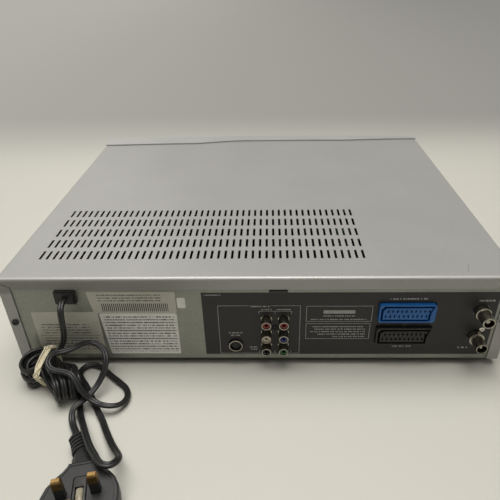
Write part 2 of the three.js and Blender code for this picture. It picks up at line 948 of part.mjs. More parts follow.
function makeFrontPanel() {
  const wall = front.wall;
  let panel = raised(frontShape(0, frontBackY), front.bottomZ, frontTopZ - front.topWall / 2, 3)
    .add(raised(lipShape(), frontTopZ - front.topWall, frontTopZ, 3));
  panel = panel.subtract(raised(
    frontShape(wall, frontBackY + overrun), front.bottomZ + wall, frontTopZ - front.topWall, 3,
  ));
  const inner = [];
  for (const side of [-1, 1]) {
    const endX = slotDoor.midX + side * slotDoor.half;
    const farX = endX + side * pivot.boss;
    inner.push(box(
      Math.min(endX, farX), Math.max(endX, farX),
      bowY(endX) + wall / 2, slotDoor.hingeY + pivot.boss,
      slotDoor.hingeZ - pivot.boss, slotDoor.hingeZ + pivot.boss,
    ));
  }
  for (const [acrossShare, upShare] of postShares) {
    const x = acrossShare * (frontBoard.half - boardInset);
    const z = frontBoard.lowZ + upShare * (frontBoard.highZ - frontBoard.lowZ);
    inner.push(rodY(x, z, bowY(x) + wall / 2, frontBoard.frontY - gap, frontBoard.postRadius, 12));
  }
  panel = panel.add(join(inner));
  panel = panel.subtract(slotBox(slotDoor, 0));
  panel = panel.subtract(slotBox(traySlot, 0)).subtract(slotBox(windowPane, 0));
  for (const side of [-1, 1]) {
    const endX = slotDoor.midX + side * slotDoor.half;
    const deepX = endX + side * (pivot.length + gap);
    panel = panel.subtract(rodX(
      slotDoor.hingeY, slotDoor.hingeZ,
      Math.min(endX - side * overrun, deepX), Math.max(endX - side * overrun, deepX), pivot.bore,
    ));
  }
  for (const place of Object.values(buttonPlaces)) {
    panel = panel.subtract(alongY(
      roundedShape(
        place.x - place.halfX - gap, place.x + place.halfX + gap,
        place.z - place.halfZ - gap, place.z + place.halfZ + gap, button.edge + gap,
      ),
      frontMidY - overrun, frontEndY + front.corner, 2,
    ));
  }
  return panel;
}

function makeCassetteDoor() {
  const lowX = slotDoor.midX - slotDoor.half + fit;
  const highX = slotDoor.midX + slotDoor.half - fit;
  const parts = [bowedWall(0, slotDoor.thick, lowX, highX, slotDoor.lowZ + fit, slotDoor.highZ - fit)];
  for (const side of [-1, 1]) {
    const outX = side < 0 ? lowX : highX;
    const inX = outX - side * pivot.earThick;
    const ear = polygon([
      [bowY(outX) + slotDoor.thick / 2, slotDoor.highZ - fit],
      [slotDoor.hingeY + pivot.earReach, slotDoor.highZ - fit],
      [slotDoor.hingeY + pivot.earReach, slotDoor.hingeZ - pivot.earReach],
      [bowY(outX) + slotDoor.thick / 2, slotDoor.hingeZ - pivot.earDrop * 2],
    ]);
    parts.push(alongX(ear, Math.min(outX, inX), Math.max(outX, inX)));
    const tipX = outX + side * (pivot.length);
    const [startX, endX] = [Math.min(inX, tipX), Math.max(inX, tipX)];
    parts.push(rodX(slotDoor.hingeY, slotDoor.hingeZ, startX, endX, pivot.radius));
  }
  return join(parts);
}

function makeDisplayWindow() {
  return bowedWall(
    0, windowPane.thick,
    windowPane.midX - windowPane.half + gap, windowPane.midX + windowPane.half - gap,
    windowPane.lowZ + gap, windowPane.highZ - gap,
  );
}

function makeButton(place) {
  const faceY = bowY(place.x) - button.proud;
  const rimY = bowY(Math.max(Math.abs(place.x) + place.halfX, 0)) + front.wall + gap;
  const cap = roundedShape(
    place.x - place.halfX, place.x + place.halfX, place.z - place.halfZ, place.z + place.halfZ, button.edge,
  );
  const rim = roundedShape(
    place.x - place.halfX - button.rim, place.x + place.halfX + button.rim,
    place.z - place.halfZ - button.rim, place.z + place.halfZ + button.rim, button.edge,
  );
  const switchY = frontBoard.frontY - frontBoard.switchDepth;
  return join([
    alongY(cap, faceY, rimY + button.rimThick, 2),
    alongY(rim, rimY, rimY + button.rimThick, 1),
    rodY(place.x, place.z, rimY, switchY - button.travel - gap, button.stem, 8),
  ]);
}

function makeFrontBoard() {
  const y = frontBoard.frontY;
  const parts = [box(
    -frontBoard.half, frontBoard.half, y, y + frontBoard.thick, frontBoard.lowZ, frontBoard.highZ,
  )];
  const half = frontBoard.switchSize / 2;
  for (const place of Object.values(buttonPlaces)) {
    parts.push(box(
      place.x - half, place.x + half, y - frontBoard.switchDepth, y + frontBoard.thick / 2,
      place.z - half, place.z + half,
    ));
  }
  const inset = frontBoard.displayInset;
  parts.push(box(
    windowPane.midX - windowPane.half + inset, windowPane.midX + windowPane.half - inset,
    y - frontBoard.displayDepth, y + frontBoard.thick / 2,
    windowPane.lowZ + inset / 2, windowPane.highZ - inset / 2,
  ));
  return join(parts);
}

// Sockets.
function makeCordBush() {
  const faceY = panelOutY + gap;
  const collar = roundedShape(
    cordBush.x - cordBush.halfX, cordBush.x + cordBush.halfX,
    cordBush.z - cordBush.halfZ, cordBush.z + cordBush.halfZ, cordBush.edge,
  );
  const nose = roundedShape(
    cordBush.x - cordBush.neckX, cordBush.x + cordBush.neckX,
    cordBush.z - cordBush.neckZ, cordBush.z + cordBush.neckZ, cordBush.edge,
  );
  const proudY = panelOutY + cordBush.proud;
  return join([
    alongY(collar, faceY, faceY + cordBush.proud * 0.6, 2),
    alongY(nose, panelInY - cordBush.inside, proudY, 2),
  ]);
}

function makeSVideo() {
  const faceY = panelOutY + sVideo.proud;
  const backY = panelInY - gap;
  let socket = rodY(sVideo.x, sVideo.z, backY - sVideo.proud, faceY, sVideo.radius, 16)
    .add(box(
      sVideo.x - sVideo.bodyHalf, sVideo.x + sVideo.bodyHalf, backY - sVideo.bodyDepth, backY,
      mainBoard.topZ + gap, sVideo.z + sVideo.bodyHalf,
    ));
  socket = socket.subtract(turnedY(sVideo.x, sVideo.z, [
    [sVideo.core, faceY - sVideo.depth],
    [sVideo.ringInner, faceY - sVideo.depth],
    [sVideo.ringInner, faceY + overrun],
    [sVideo.core, faceY + overrun],
    [sVideo.core, faceY - sVideo.depth],
  ], 16));
  socket = socket.subtract(
    rodY(sVideo.x, sVideo.z, faceY - sVideo.proud / 2, faceY + overrun, sVideo.core + gap, 16),
  );
  for (let i = 0; i < 4; i += 1) {
    const angle = Math.PI / 4 + i * Math.PI / 2;
    socket = socket.subtract(rodY(
      sVideo.x + sVideo.pinRing * Math.cos(angle), sVideo.z + sVideo.pinRing * Math.sin(angle),
      faceY - sVideo.depth, faceY + overrun, sVideo.pin, 6,
    ));
  }
  return socket;
}

const jackFrontY = panelOutY + jack.proud;
const jackBackY = panelInY - jack.inside;

function makeJackBlock() {
  const backY = panelInY - jack.blockDepth;
  const frontY = panelInY - gap * 2 - jack.stripThick;
  let block = box(
    Math.min(...jack.columnX) - jack.blockSide, Math.max(...jack.columnX) + jack.blockSide,
    backY, frontY, mainBoard.topZ + gap, Math.max(...jack.rowZ) + jack.blockSide,
  );
  for (const x of jack.columnX) {
    for (const z of jack.rowZ) {
      block = block.subtract(rodY(x, z, jackBackY - gap, frontY + overrun, jack.barrel + gap, 14));
    }
  }
  return block;
}

function makeJackBarrels() {
  const stripY = panelInY - gap - jack.stripThick;
  const side = jack.blockSide - jack.stripInset;
  const parts = [box(
    Math.min(...jack.columnX) - side, Math.max(...jack.columnX) + side,
    stripY, stripY + jack.stripThick, Math.min(...jack.rowZ) - jack.barrel, Math.max(...jack.rowZ) + side,
  )];
  const bores = [];
  for (const x of jack.columnX) {
    for (const z of jack.rowZ) {
      parts.push(rodY(x, z, jackBackY, jackFrontY, jack.barrel));
      bores.push(rodY(x, z, jackBackY - overrun, jackFrontY + overrun, jack.bore));
    }
  }
  return join(parts).subtract(join(bores));
}

function makeInsulator(x, z) {
  const frontY = jackFrontY - jack.recess;
  return rodY(x, z, jackBackY, frontY, jack.sleeve, 16)
    .subtract(rodY(x, z, frontY - jack.proud, frontY + overrun, jack.sleeveBore, 10));
}

// A SCART socket: a moulded face with a keyed groove for the plug's shell
// and two staggered rows of contacts.
function keyedShape(inset) {
  const half = scart.half - inset;
  const high = scart.halfHigh - inset;
  return polygon([
    [half, -high],
    [half, high * 0.55],
    [half - scart.key, high],
    [-half, high],
    [-half + scart.key, -high * 0.1],
    [-half + scart.key, -high],
  ]);
}

function makeScart(z, lowZ, highZ) {
  const faceY = panelOutY + scart.proud;
  const backY = panelInY - gap;
  let socket = alongY(
    roundedShape(-scart.half, scart.half, -scart.halfHigh, scart.halfHigh, scart.key), backY - overrun, faceY, 2,
  ).translate([scart.x, 0, z]);
  const backHalf = scart.half + scart.backLip;
  socket = socket.add(box(
    scart.x - backHalf, scart.x + backHalf, backY - scart.backDepth, backY, lowZ, highZ,
  ));
  const groove = alongY(keyedShape(scart.wall), faceY - scart.depth, faceY + overrun)
    .subtract(alongY(keyedShape(scart.wall + scart.groove), faceY - scart.depth - overrun, faceY + overrun * 2));
  socket = socket.subtract(groove.translate([scart.x, 0, z]));
  const slots = [];
  for (let row = 0; row < 2; row += 1) {
    for (let i = 0; i < scart.pins; i += 1) {
      const x = scart.x + scart.pinPitch * (scart.pins / 2 - i - 0.5 + (row - 0.5) / 2);
      const middleZ = z + scart.rowPitch * (0.5 - row);
      slots.push(box(
        x - scart.pinWide / 2, x + scart.pinWide / 2, faceY - scart.pinDepth, faceY + overrun,
        middleZ - scart.pinHigh / 2, middleZ + scart.pinHigh / 2,
      ));
    }
  }
  return socket.subtract(wasm.Manifold.union(slots));
}

function makeTuner() {
  const backY = panelInY - gap;
  const lowZ = mainBoard.topZ + gap;
  const half = aerial.canHalf;
  const can = box(aerial.x - half, aerial.x + half, backY - aerial.canDepth, backY, lowZ, aerial.canTopZ);
  const inner = half - aerial.lidInset;
  const groove = box(
    aerial.x - inner, aerial.x + inner, backY - aerial.canDepth + aerial.lidInset, backY - aerial.lidInset,
    aerial.canTopZ - gap, aerial.canTopZ + overrun,
  );
  return can.subtract(groove);
}

function makeAerial(z, barrel, contact) {
  const startY = panelInY;
  const endY = panelOutY + aerial.reach;
  const floorY = endY - aerialPlug.boreDeep;
  const profile = [
    [0, startY],
    [aerialPlug.base, startY],
    [aerialPlug.base, panelOutY + aerialPlug.baseLong],
    [barrel + gap, panelOutY + aerialPlug.baseLong + gap],
    [barrel, endY - gap],
    [barrel - gap, endY],
    [aerialPlug.bore, endY],
    [aerialPlug.bore - gap, floorY],
    [contact, floorY],
    [contact, endY - aerialPlug.baseLong / 2],
    [0, endY - aerialPlug.baseLong / 2],
  ];
  return turnedY(aerial.x, z, profile, 18);
}

// Boards with their larger parts.
function makeBoard(board, tall) {
  const parts = [box(board.lowX, board.highX, board.lowY, board.highY, board.topZ - board.thick, board.topZ)];
  const long = board.highX - board.lowX;
  const deep = board.highY - board.lowY;
  for (const [acrossShare, deepShare, halfX, halfY, high] of tall) {
    const x = board.lowX + long * acrossShare;
    const y = board.lowY + deep * deepShare;
    const lowZ = board.topZ - board.thick / 2;
    parts.push(box(x - halfX, x + halfX, y - halfY, y + halfY, lowZ, board.topZ + high));
  }
  return join(parts);
}

// Parts on a board: shares across and deep, then half sizes across and deep, and the height.
const boardChips = [
  [0.3, 0.3, 14, 14, 3],
  [0.55, 0.35, 10, 10, 3],
  [0.75, 0.25, 9, 4, 3],
  [0.8, 0.6, 5, 12, 9],
  [0.18, 0.2, 9, 4, 3],
];
const boardSinks = [
  [0.2, 0.55, 2, 26, 30],
  [0.86, 0.4, 2, 22, 26],
  [0.52, 0.86, 12, 5, 12],
];
const capacitor = { acrossShare: 0.34, deepShare: 0.34, radius: 12, high: 34, crimp: 3, groove: 0.8 };
const transformer = { acrossShare: 0.6, deepShare: 0.45, halfX: 19, halfY: 16, high: 30, core: 6, coil: 3 };

function makePowerBoard() {
  const x = powerBoard.lowX + (powerBoard.highX - powerBoard.lowX) * capacitor.acrossShare;
  const y = powerBoard.lowY + (powerBoard.highY - powerBoard.lowY) * capacitor.deepShare;
  const lowZ = powerBoard.topZ;
  const can = turned(x, y, [
    [0, lowZ - powerBoard.thick / 2],
    [capacitor.radius, lowZ - powerBoard.thick / 2],
    [capacitor.radius, lowZ + capacitor.crimp],
    [capacitor.radius - capacitor.groove, lowZ + capacitor.crimp + capacitor.groove],
    [capacitor.radius, lowZ + capacitor.crimp + 2 * capacitor.groove],
    [capacitor.radius, lowZ + capacitor.high],
    [0, lowZ + capacitor.high],
  ], 18);
  return makeBoard(powerBoard, boardSinks).add(can);
}

function makeTransformer() {
  const x = powerBoard.lowX + (powerBoard.highX - powerBoard.lowX) * transformer.acrossShare;
  const y = powerBoard.lowY + (powerBoard.highY - powerBoard.lowY) * transformer.deepShare;
  const lowZ = powerBoard.topZ + gap;
  const topZ = lowZ + transformer.high;
  const core = box(
    x - transformer.halfX, x + transformer.halfX, y - transformer.core, y + transformer.core, lowZ, topZ,
  );
  const coilX = transformer.halfX - transformer.core;
  const coil = alongX(
    roundedShape(
      y - transformer.halfY, y + transformer.halfY, lowZ + transformer.coil, topZ - transformer.coil,
      transformer.coil,
    ),
    x - coilX, x + coilX, 2,
  );
  const feet = box(
    x - coilX, x + coilX, y - transformer.halfY, y + transformer.halfY, lowZ, lowZ + transformer.coil * 1.5,
  );
  return join([core, coil, feet]);
}

// Tape deck.
function tilted(solid) {
  return solid
    .translate([-drum.x, -drum.y, -drum.lowZ])
    .rotate([drum.tilt, 0, 0])
    .translate([drum.x, drum.y, drum.lowZ]);
}

function reelX(side) {
  return slotDoor.midX + side * reel.spread;
}

function makeDeckChassis() {
  const topZ = deck.plateZ + deck.sheet;
  const parts = [box(deck.lowX, deck.highX, deck.lowY, deck.highY, deck.plateZ, topZ)];
  for (const x of [deck.lowX + deck.legInset, deck.highX - deck.legInset]) {
    for (const y of [deck.lowY + deck.legInset, deck.highY - deck.legInset]) {
      parts.push(rodZ(x, y, floorTopZ + gap, topZ, deck.leg, 12));
    }
  }
  const slotLow = carriage.pinZ - carriage.pinRadius - gap;
  const slotHigh = carriage.pinZ + carriage.pinRadius + gap;
  for (const side of [-1, 1]) {
    const outX = side < 0 ? deck.lowX : deck.highX;
    const inX = outX - side * deck.sheet;
    const wall = box(
      Math.min(outX, inX), Math.max(outX, inX), deck.lowY, deck.sideRearY, deck.plateZ, deck.sideTopZ,
    ).subtract(box(
      Math.min(outX, inX) - overrun, Math.max(outX, inX) + overrun,
      carriagePins[0] - carriage.pinRadius - gap, carriagePins[1] + carriage.travel + carriage.pinRadius + gap,
      slotLow, slotHigh,
    ));
    parts.push(wall);
    parts.push(rodZ(reelX(side), reel.y, deck.plateZ, reel.hubTop - reel.flangeThick * 2, reel.pin, 16));
  }
  parts.push(tilted(rodZ(drum.x, drum.y, drum.lowZ - deck.sheet * 4, drum.splitZ, drum.radius, 24)));
  parts.push(tilted(rodZ(drum.x, drum.y, drum.splitZ - deck.sheet, drum.topZ - overrun * 2, drum.shaft, 16)));
  parts.push(rodZ(capstan.x, capstan.y, deck.plateZ, capstan.bossTop, capstan.boss, 14));
  parts.push(rodZ(pinch.pivotX, pinch.pivotY, deck.plateZ, pinch.armZ + pinch.arm + gap * 2, pinch.pin, 16));
  parts.push(rodZ(pinch.pivotX, pinch.pivotY, deck.plateZ, pinch.armZ - gap, pinch.arm, 16));
  parts.push(rodZ(motor.x, motor.y, deck.plateZ, topZ + motor.length, motor.radius, 16));
  return join(parts).subtract(
    rodZ(capstan.x, capstan.y, deck.plateZ - overrun * 2, capstan.bossTop + overrun, capstan.shaft + gap, 16),
  );
}

function makeHeadDrum() {
  const lowZ = drum.splitZ + gap * 2;
  const bore = drum.shaft + gap;
  const body = turned(drum.x, drum.y, [
    [bore, lowZ],
    [drum.radius - drum.windowHigh, lowZ],
    [drum.radius, lowZ + drum.windowHigh],
    [drum.radius, drum.topZ - drum.windowHigh],
    [drum.radius - drum.windowHigh, drum.topZ],
    [drum.hub * 2, drum.topZ],
    [drum.hub * 2, drum.topZ - drum.windowHigh * 2],
    [drum.hub, drum.topZ - drum.windowHigh * 2],
    [drum.hub, drum.topZ],
    [bore, drum.topZ],
    [bore, lowZ],
  ], 24);
  return tilted(body);
}

function makeReel(side) {
  const x = reelX(side);
  const bore = reel.pin + gap;
  const lowZ = reel.flangeZ;
  const hubLow = lowZ + reel.flangeThick;
  const table = turned(x, reel.y, [
    [bore, lowZ],
    [reel.flange, lowZ],
    [reel.flange, hubLow],
    [reel.hub, hubLow],
    [reel.hub - reel.pin, reel.hubTop],
    [bore, reel.hubTop],
    [bore, lowZ],
  ], 18);
  const foot = turned(x, reel.y, [
    [bore, deck.plateZ + deck.sheet + gap],
    [reel.pin * 2, deck.plateZ + deck.sheet + gap],
    [reel.pin * 2, lowZ + gap],
    [bore, lowZ + gap],
    [bore, deck.plateZ + deck.sheet + gap],
  ], 10);
  const fins = [];
  for (let i = 0; i < reel.fins; i += 1) {
    const angle = i * 360 / reel.fins;
    fins.push(box(
      reel.hub - reel.pin * 1.5, reel.hub + reel.pin, -reel.pin / 2, reel.pin / 2,
      hubLow - gap, reel.hubTop - reel.pin * 2,
    ).rotate([0, 0, angle]).translate([x, reel.y, 0]));
  }
  return join([table, foot, ...fins]);
}

function makeCapstan() {
  const lowZ = capstan.flywheelZ;
  const wheelTop = lowZ + capstan.flywheelThick;
  return turned(capstan.x, capstan.y, [
    [0, lowZ],
    [capstan.flywheel, lowZ],
    [capstan.flywheel, wheelTop],
    [capstan.boss, wheelTop],
    [capstan.boss - gap * 4, deck.plateZ - gap],
    [capstan.shaft, deck.plateZ - gap],
    [capstan.shaft, capstan.topZ],
    [0, capstan.topZ],
  ], 18);
}

function makePinchRoller() {
  const armTop = pinch.armZ + pinch.arm / 2;
  const eye = rodZ(pinch.pivotX, pinch.pivotY, pinch.armZ, pinch.armZ + pinch.arm, pinch.arm * 1.1, 16);
  const dx = pinch.x - pinch.pivotX;
  const dy = pinch.y - pinch.pivotY;
  const reach = Math.hypot(dx, dy);
  const bar = box(0, reach, -pinch.arm / 2, pinch.arm / 2, pinch.armZ, armTop)
    .rotate([0, 0, Math.atan2(dy, dx) * 180 / Math.PI])
    .translate([pinch.pivotX, pinch.pivotY, 0]);
  const roller = turned(pinch.x, pinch.y, [
    [0, pinch.armZ],
    [pinch.pin, pinch.armZ],
    [pinch.pin, pinch.rollerLowZ],
    [pinch.roller, pinch.rollerLowZ],
    [pinch.roller, pinch.rollerTopZ],
    [pinch.pin, pinch.rollerTopZ],
    [pinch.pin, pinch.rollerTopZ + pinch.pin],
    [0, pinch.rollerTopZ + pinch.pin],
  ], 14);
  return join([eye, bar, roller]).subtract(
    rodZ(pinch.pivotX, pinch.pivotY, pinch.armZ - overrun, pinch.armZ + pinch.arm + overrun, pinch.pin + gap, 16),
  );
}

const carriagePins = [0, 1].map((place) => carriage.frontY + carriage.pinInset + place * carriage.pinPitch);

function makeCarriage() {
  const outLow = deck.lowX + deck.sheet + gap;
  const outHigh = deck.highX - deck.sheet - gap;
  const wall = carriage.wall;
  const { lowZ, highZ, frontY, rearY: backY, lipX } = carriage;
  const parts = [
    box(outLow, outLow + wall, frontY, backY, lowZ, highZ),
    box(outHigh - wall, outHigh, frontY, backY, lowZ, highZ),
    box(outLow, outLow + lipX, frontY, backY, lowZ, lowZ + wall),
    box(outHigh - lipX, outHigh, frontY, backY, lowZ, lowZ + wall),
    box(outLow, outHigh, backY - lipX, backY, highZ - wall, highZ),
    box(outLow, outHigh, frontY, frontY + lipX / 2, highZ - wall, highZ),
    box(outLow, outHigh, backY - lipX, backY, lowZ, lowZ + wall),
  ];
  for (const y of carriagePins) {
    parts.push(rodX(y, carriage.pinZ, outLow - deck.sheet - gap * 2, outLow + wall, carriage.pinRadius, 12));
    parts.push(rodX(y, carriage.pinZ, outHigh - wall, outHigh + deck.sheet + gap * 2, carriage.pinRadius, 12));
  }
  return join(parts);
}

// Disc drive.
function pitchRadius() {
  return rack.module * pinion.teeth / 2;
}

const pinionX = rack.pitchX - pitchRadius();

function makeLoaderFrame() {
  const half = tray.half + gap + loader.wall;
  const lowX = loader.midX - half;
  const highX = loader.midX + half;
  const { frontY, rearY: backY, floorZ, wall } = loader;
  const floorTop = floorZ + loader.floorThick;
  const parts = [
    box(lowX, highX, frontY, backY, floorZ, floorTop)
      .subtract(box(
        loader.midX - traverse.half - overrun, loader.midX + traverse.half + overrun,
        traverse.frontY - overrun, traverse.hingeY + overrun * 2, floorZ - overrun, floorTop + overrun,
      )),
    box(lowX, highX, backY - wall, backY, floorZ, loader.railZ),
  ];
  for (const side of [-1, 1]) {
    const outX = side < 0 ? lowX : highX;
    const inX = outX - side * wall;
    const railX = inX - side * loader.railReach;
    parts.push(box(Math.min(outX, inX), Math.max(outX, inX), frontY, backY, floorZ, loader.topZ));
    parts.push(box(
      Math.min(outX, railX), Math.max(outX, railX), frontY, backY, loader.railZ, loader.railZ + loader.railThick,
    ));
    const guideZ = tray.lowZ + tray.thick + gap;
    parts.push(box(
      Math.min(outX, railX), Math.max(outX, railX), frontY + overrun * 4, frontY + overrun * 12,
      guideZ, guideZ + loader.railThick,
    ));
    parts.push(box(
      Math.min(outX, railX), Math.max(outX, railX), backY - overrun * 12, backY,
      guideZ, guideZ + loader.railThick,
    ));
    for (const y of [frontY + loader.leg * 2, backY - loader.leg]) {
      parts.push(rodZ(outX - side * loader.leg, y, floorTopZ + gap, floorTop, loader.leg, 16));
    }
    const earLow = loader.midX + side * (traverse.half + gap);
    const earHigh = earLow + side * loader.railThick * 1.5;
    parts.push(box(
      Math.min(earLow, earHigh), Math.max(earLow, earHigh),
      traverse.hingeY - loader.leg, traverse.hingeY + loader.leg,
      floorZ, traverse.hingeZ + loader.leg,
    ).subtract(rodX(
      traverse.hingeY, traverse.hingeZ, Math.min(earLow, earHigh) - overrun, Math.max(earLow, earHigh) + overrun,
      traverse.pin + gap,
    )));
    const linkLow = Math.min(earLow, side < 0 ? lowX + wall : highX - wall);
    const linkHigh = Math.max(earLow, side < 0 ? lowX + wall : highX - wall);
    parts.push(box(
      linkLow, linkHigh, traverse.hingeY + loader.leg - loader.railThick, traverse.hingeY + loader.leg,
      floorZ, floorTop + loader.railThick,
    ));
  }
  parts.push(box(
    lowX, highX, tray.wellY - loader.bridgeHalf, tray.wellY + loader.bridgeHalf,
    loader.topZ - wall, loader.topZ + loader.bridgeThick,
  ).subtract(box(
    lowX + wall, highX - wall, tray.wellY - loader.bridgeHalf * 2, tray.wellY + loader.bridgeHalf * 2,
    loader.topZ - wall * 2, loader.topZ,
  )));
  parts.push(rodZ(pinionX, pinion.y, floorZ, pinion.highZ - gap * 2, pinion.pin, 16));
  parts.push(rodZ(pinionX, pinion.y, floorZ, pinion.lowZ - gap, pinion.hub + gap * 3, 16));
  return join(parts).subtract(
    rodZ(
      loader.midX, tray.wellY, loader.topZ - overrun, loader.topZ + loader.bridgeThick + overrun,
      clamp.neck + gap * 2, 20,
    ),
  );
}

// Straight rack teeth along Y, pointing at the pinion, with the pinion in mesh at rest.
function rackTeeth() {
  const pitch = Math.PI * rack.module;
  const rootX = rack.pitchX + rack.module * 1.25;
  const tipX = rack.pitchX - rack.module;
  const baseHalf = pitch / 4 + rack.module * 0.36 - rack.backlash / 2;
  const tipHalf = pitch / 4 - rack.module * 0.36 - rack.backlash / 2;
  const lowZ = tray.lowZ - rack.depth;
  const teeth = [box(
    rootX, rootX + rack.back, pinion.y - pitch, pinion.y + pitch * rack.teeth, lowZ, tray.lowZ + tray.thick / 2,
  )];
  for (let i = 0; i < rack.teeth; i += 1) {
    const y = pinion.y + (i + 0.5) * pitch;
    teeth.push(raised(polygon([
      [rootX + gap, y - baseHalf],
      [rootX, y + baseHalf],
      [tipX, y + tipHalf],
      [tipX, y - tipHalf],
      [rootX, y - baseHalf],
    ]), lowZ, tray.lowZ - gap, 1));
  }
  return join(teeth);
}

function makePinion() {
  const pitchR = pitchRadius();
  const rootR = pitchR - rack.module * 1.25;
  const tipR = pitchR + rack.module;
  const step = 2 * Math.PI / pinion.teeth;
  const backlashAngle = rack.backlash / 2 / pitchR;
  const points = [];
  for (let i = 0; i < pinion.teeth; i += 1) {
    // A tooth points along +X at rest, between two teeth of the rack.
    const middle = i * step;
    const rootHalf = step / 4 + 0.36 * rack.module / pitchR - backlashAngle;
    const pitchHalf = step / 4 - backlashAngle;
    const tipHalf = step / 4 - 0.42 * rack.module / pitchR - backlashAngle;
    for (const [radius, angle] of [
      [rootR, middle - rootHalf], [pitchR, middle - pitchHalf], [tipR, middle - tipHalf],
      [tipR, middle + tipHalf], [pitchR, middle + pitchHalf], [rootR, middle + rootHalf],
    ]) {
      points.push([pinionX + radius * Math.cos(angle), pinion.y + radius * Math.sin(angle)]);
    }
  }
  return raised(polygon(points), pinion.lowZ, pinion.highZ, 1)
    .subtract(rodZ(pinionX, pinion.y, pinion.lowZ - overrun, pinion.highZ + overrun, pinion.bore, 10));
}

function makeTray() {
  const topZ = tray.lowZ + tray.thick;
  let body = box(loader.midX - tray.half, loader.midX + tray.half, tray.frontY, tray.rearY, tray.lowZ, topZ);
  const ledgeZ = topZ - tray.wellDeep + tray.smallDeep;
  body = body.subtract(rodZ(loader.midX, tray.wellY, ledgeZ, topZ + overrun, tray.wellRadius, 36));
  body = body.subtract(rodZ(loader.midX, tray.wellY, topZ - tray.wellDeep, topZ + overrun, tray.smallWell, 28));
  const slot = new THREE.Shape();
  slot.moveTo(loader.midX + tray.slotHalf, tray.rearY + overrun);
  slot.lineTo(loader.midX - tray.slotHalf, tray.rearY + overrun);
  slot.lineTo(loader.midX - tray.slotHalf, tray.wellY);
  slot.absarc(loader.midX, tray.wellY, tray.slotHalf, Math.PI, 2 * Math.PI);
  slot.closePath();
  body = body.subtract(raised(slot, tray.lowZ - overrun, topZ + overrun, 8));
  return body.add(rackTeeth());
}

function makeTrayFront() {
  const lowX = traySlot.midX - traySlot.half + fit;
  const highX = traySlot.midX + traySlot.half - fit;
  const face = bowedWall(0, front.wall, lowX, highX, traySlot.lowZ + fit, traySlot.highZ - fit);
  const block = raised(frontShape(front.wall / 2, frontBackY + overrun), tray.lowZ, tray.lowZ + tray.thick, 3)
    .intersect(box(
      loader.midX - tray.half, loader.midX + tray.half, frontMidY - overrun, tray.frontY - gap,
      tray.lowZ, tray.lowZ + tray.thick,
    ));
  return face.add(block);
}

function makeTraverse() {
  const { half, frontY, rearY: backY, topZ, thick } = traverse;
  let plate = box(loader.midX - half, loader.midX + half, frontY, backY, topZ - thick, topZ);
  plate = plate.subtract(box(
    loader.midX - traverse.windowHalf, loader.midX + traverse.windowHalf,
    tray.wellY + turntable.radius, backY - loader.leg * 2, topZ - thick - overrun, topZ + overrun,
  ));
  const parts = [plate];
  for (const side of [-1, 1]) {
    const x = loader.midX + side * traverse.rodX;
    const tip = loader.midX + side * (half + traverse.pinLong);
    const rod = box(
      x - traverse.rod, x + traverse.rod, tray.wellY, backY - loader.leg,
      topZ - thick / 2, sled.lowZ + sled.thick * 0.6,
    );
    parts.push(rod);
    parts.push(rodX(
      traverse.hingeY, traverse.hingeZ, Math.min(loader.midX + side * (half - overrun), tip),
      Math.max(loader.midX + side * (half - overrun), tip), traverse.pin,
    ));
  }
  const motorLowZ = topZ - thick - turntable.motorLong;
  const motorTopZ = topZ + turntable.motorLong;
  parts.push(rodZ(loader.midX, tray.wellY, motorLowZ, motorTopZ, turntable.motor, 16));
  return join(parts).subtract(rodZ(
    loader.midX, tray.wellY, motorLowZ + turntable.motorFloor, motorTopZ + overrun, turntable.shaft + gap, 12,
  ));
}

function makeTurntable() {
  const lowZ = turntable.lowZ;
  return turned(loader.midX, tray.wellY, [
    [0, traverse.topZ - traverse.thick],
    [turntable.shaft, traverse.topZ - traverse.thick],
    [turntable.shaft, lowZ],
    [turntable.radius, lowZ],
    [turntable.radius, lowZ + turntable.thick],
    [turntable.hub, lowZ + turntable.thick],
    [turntable.hub * 0.75, turntable.topZ],
    [0, turntable.topZ],
  ], 20);
}

function makeSled() {
  const { half, frontY, length, lowZ, thick } = sled;
  const lensY = frontY + length / 2;
  return join([
    box(loader.midX - half, loader.midX + half, frontY, frontY + length, lowZ, lowZ + thick),
    rodZ(loader.midX, lensY, lowZ, lowZ + thick + sled.lensHigh, sled.lens, 20),
    box(
      loader.midX - traverse.rodX + traverse.rod + gap, loader.midX + traverse.rodX - traverse.rod - gap,
      frontY + length * 0.2, frontY + length * 0.8, lowZ, lowZ + thick * 0.45,
    ),
  ]);
}

function makeClamp() {
  const { lowZ, flange, flangeThick, neck, neckHigh, cap, capThick } = clamp;
  return turned(loader.midX, tray.wellY, [
    [0, lowZ],
    [flange, lowZ],
    [flange, lowZ + flangeThick],
    [neck, lowZ + flangeThick],
    [neck, lowZ + neckHigh - capThick],
    [cap, lowZ + neckHigh - capThick],
    [cap, lowZ + neckHigh],
    [0, lowZ + neckHigh],
  ], 20);
}

// Closed skins over rows of rings, for what is wound, bent or moulded.
// A loop joins its last ring to its first.
function skin(rings, loop = false) {
  const count = rings[0].length;
  const points = rings.flat();
  const corners = [];
  const rows = loop ? rings.length : rings.length - 1;
  for (let row = 0; row < rows; row++) {
    const here = row * count;
    const next = ((row + 1) % rings.length) * count;
    for (let i = 0; i < count; i++) {
      const j = (i + 1) % count;
      corners.push(here + i, here + j, next + j);
      corners.push(here + i, next + j, next + i);
    }
  }
  if (!loop) {
    for (const [row, flip] of [[0, false], [rings.length - 1, true]]) {
      const middle = points.length;
      const total = rings[row].reduce((sum, point) => sum.add(point), new THREE.Vector3());
      points.push(total.divideScalar(count));
      for (let i = 0; i < count; i++) {
        const edge = [row * count + i, row * count + ((i + 1) % count)];
        corners.push(middle, flip ? edge[0] : edge[1], flip ? edge[1] : edge[0]);
      }
    }
  }
  const geometry = new THREE.BufferGeometry().setFromPoints(points);
  geometry.setIndex(corners);
  return solidOf(geometry);
}

function radians(degrees) {
  return THREE.MathUtils.degToRad(degrees);
}

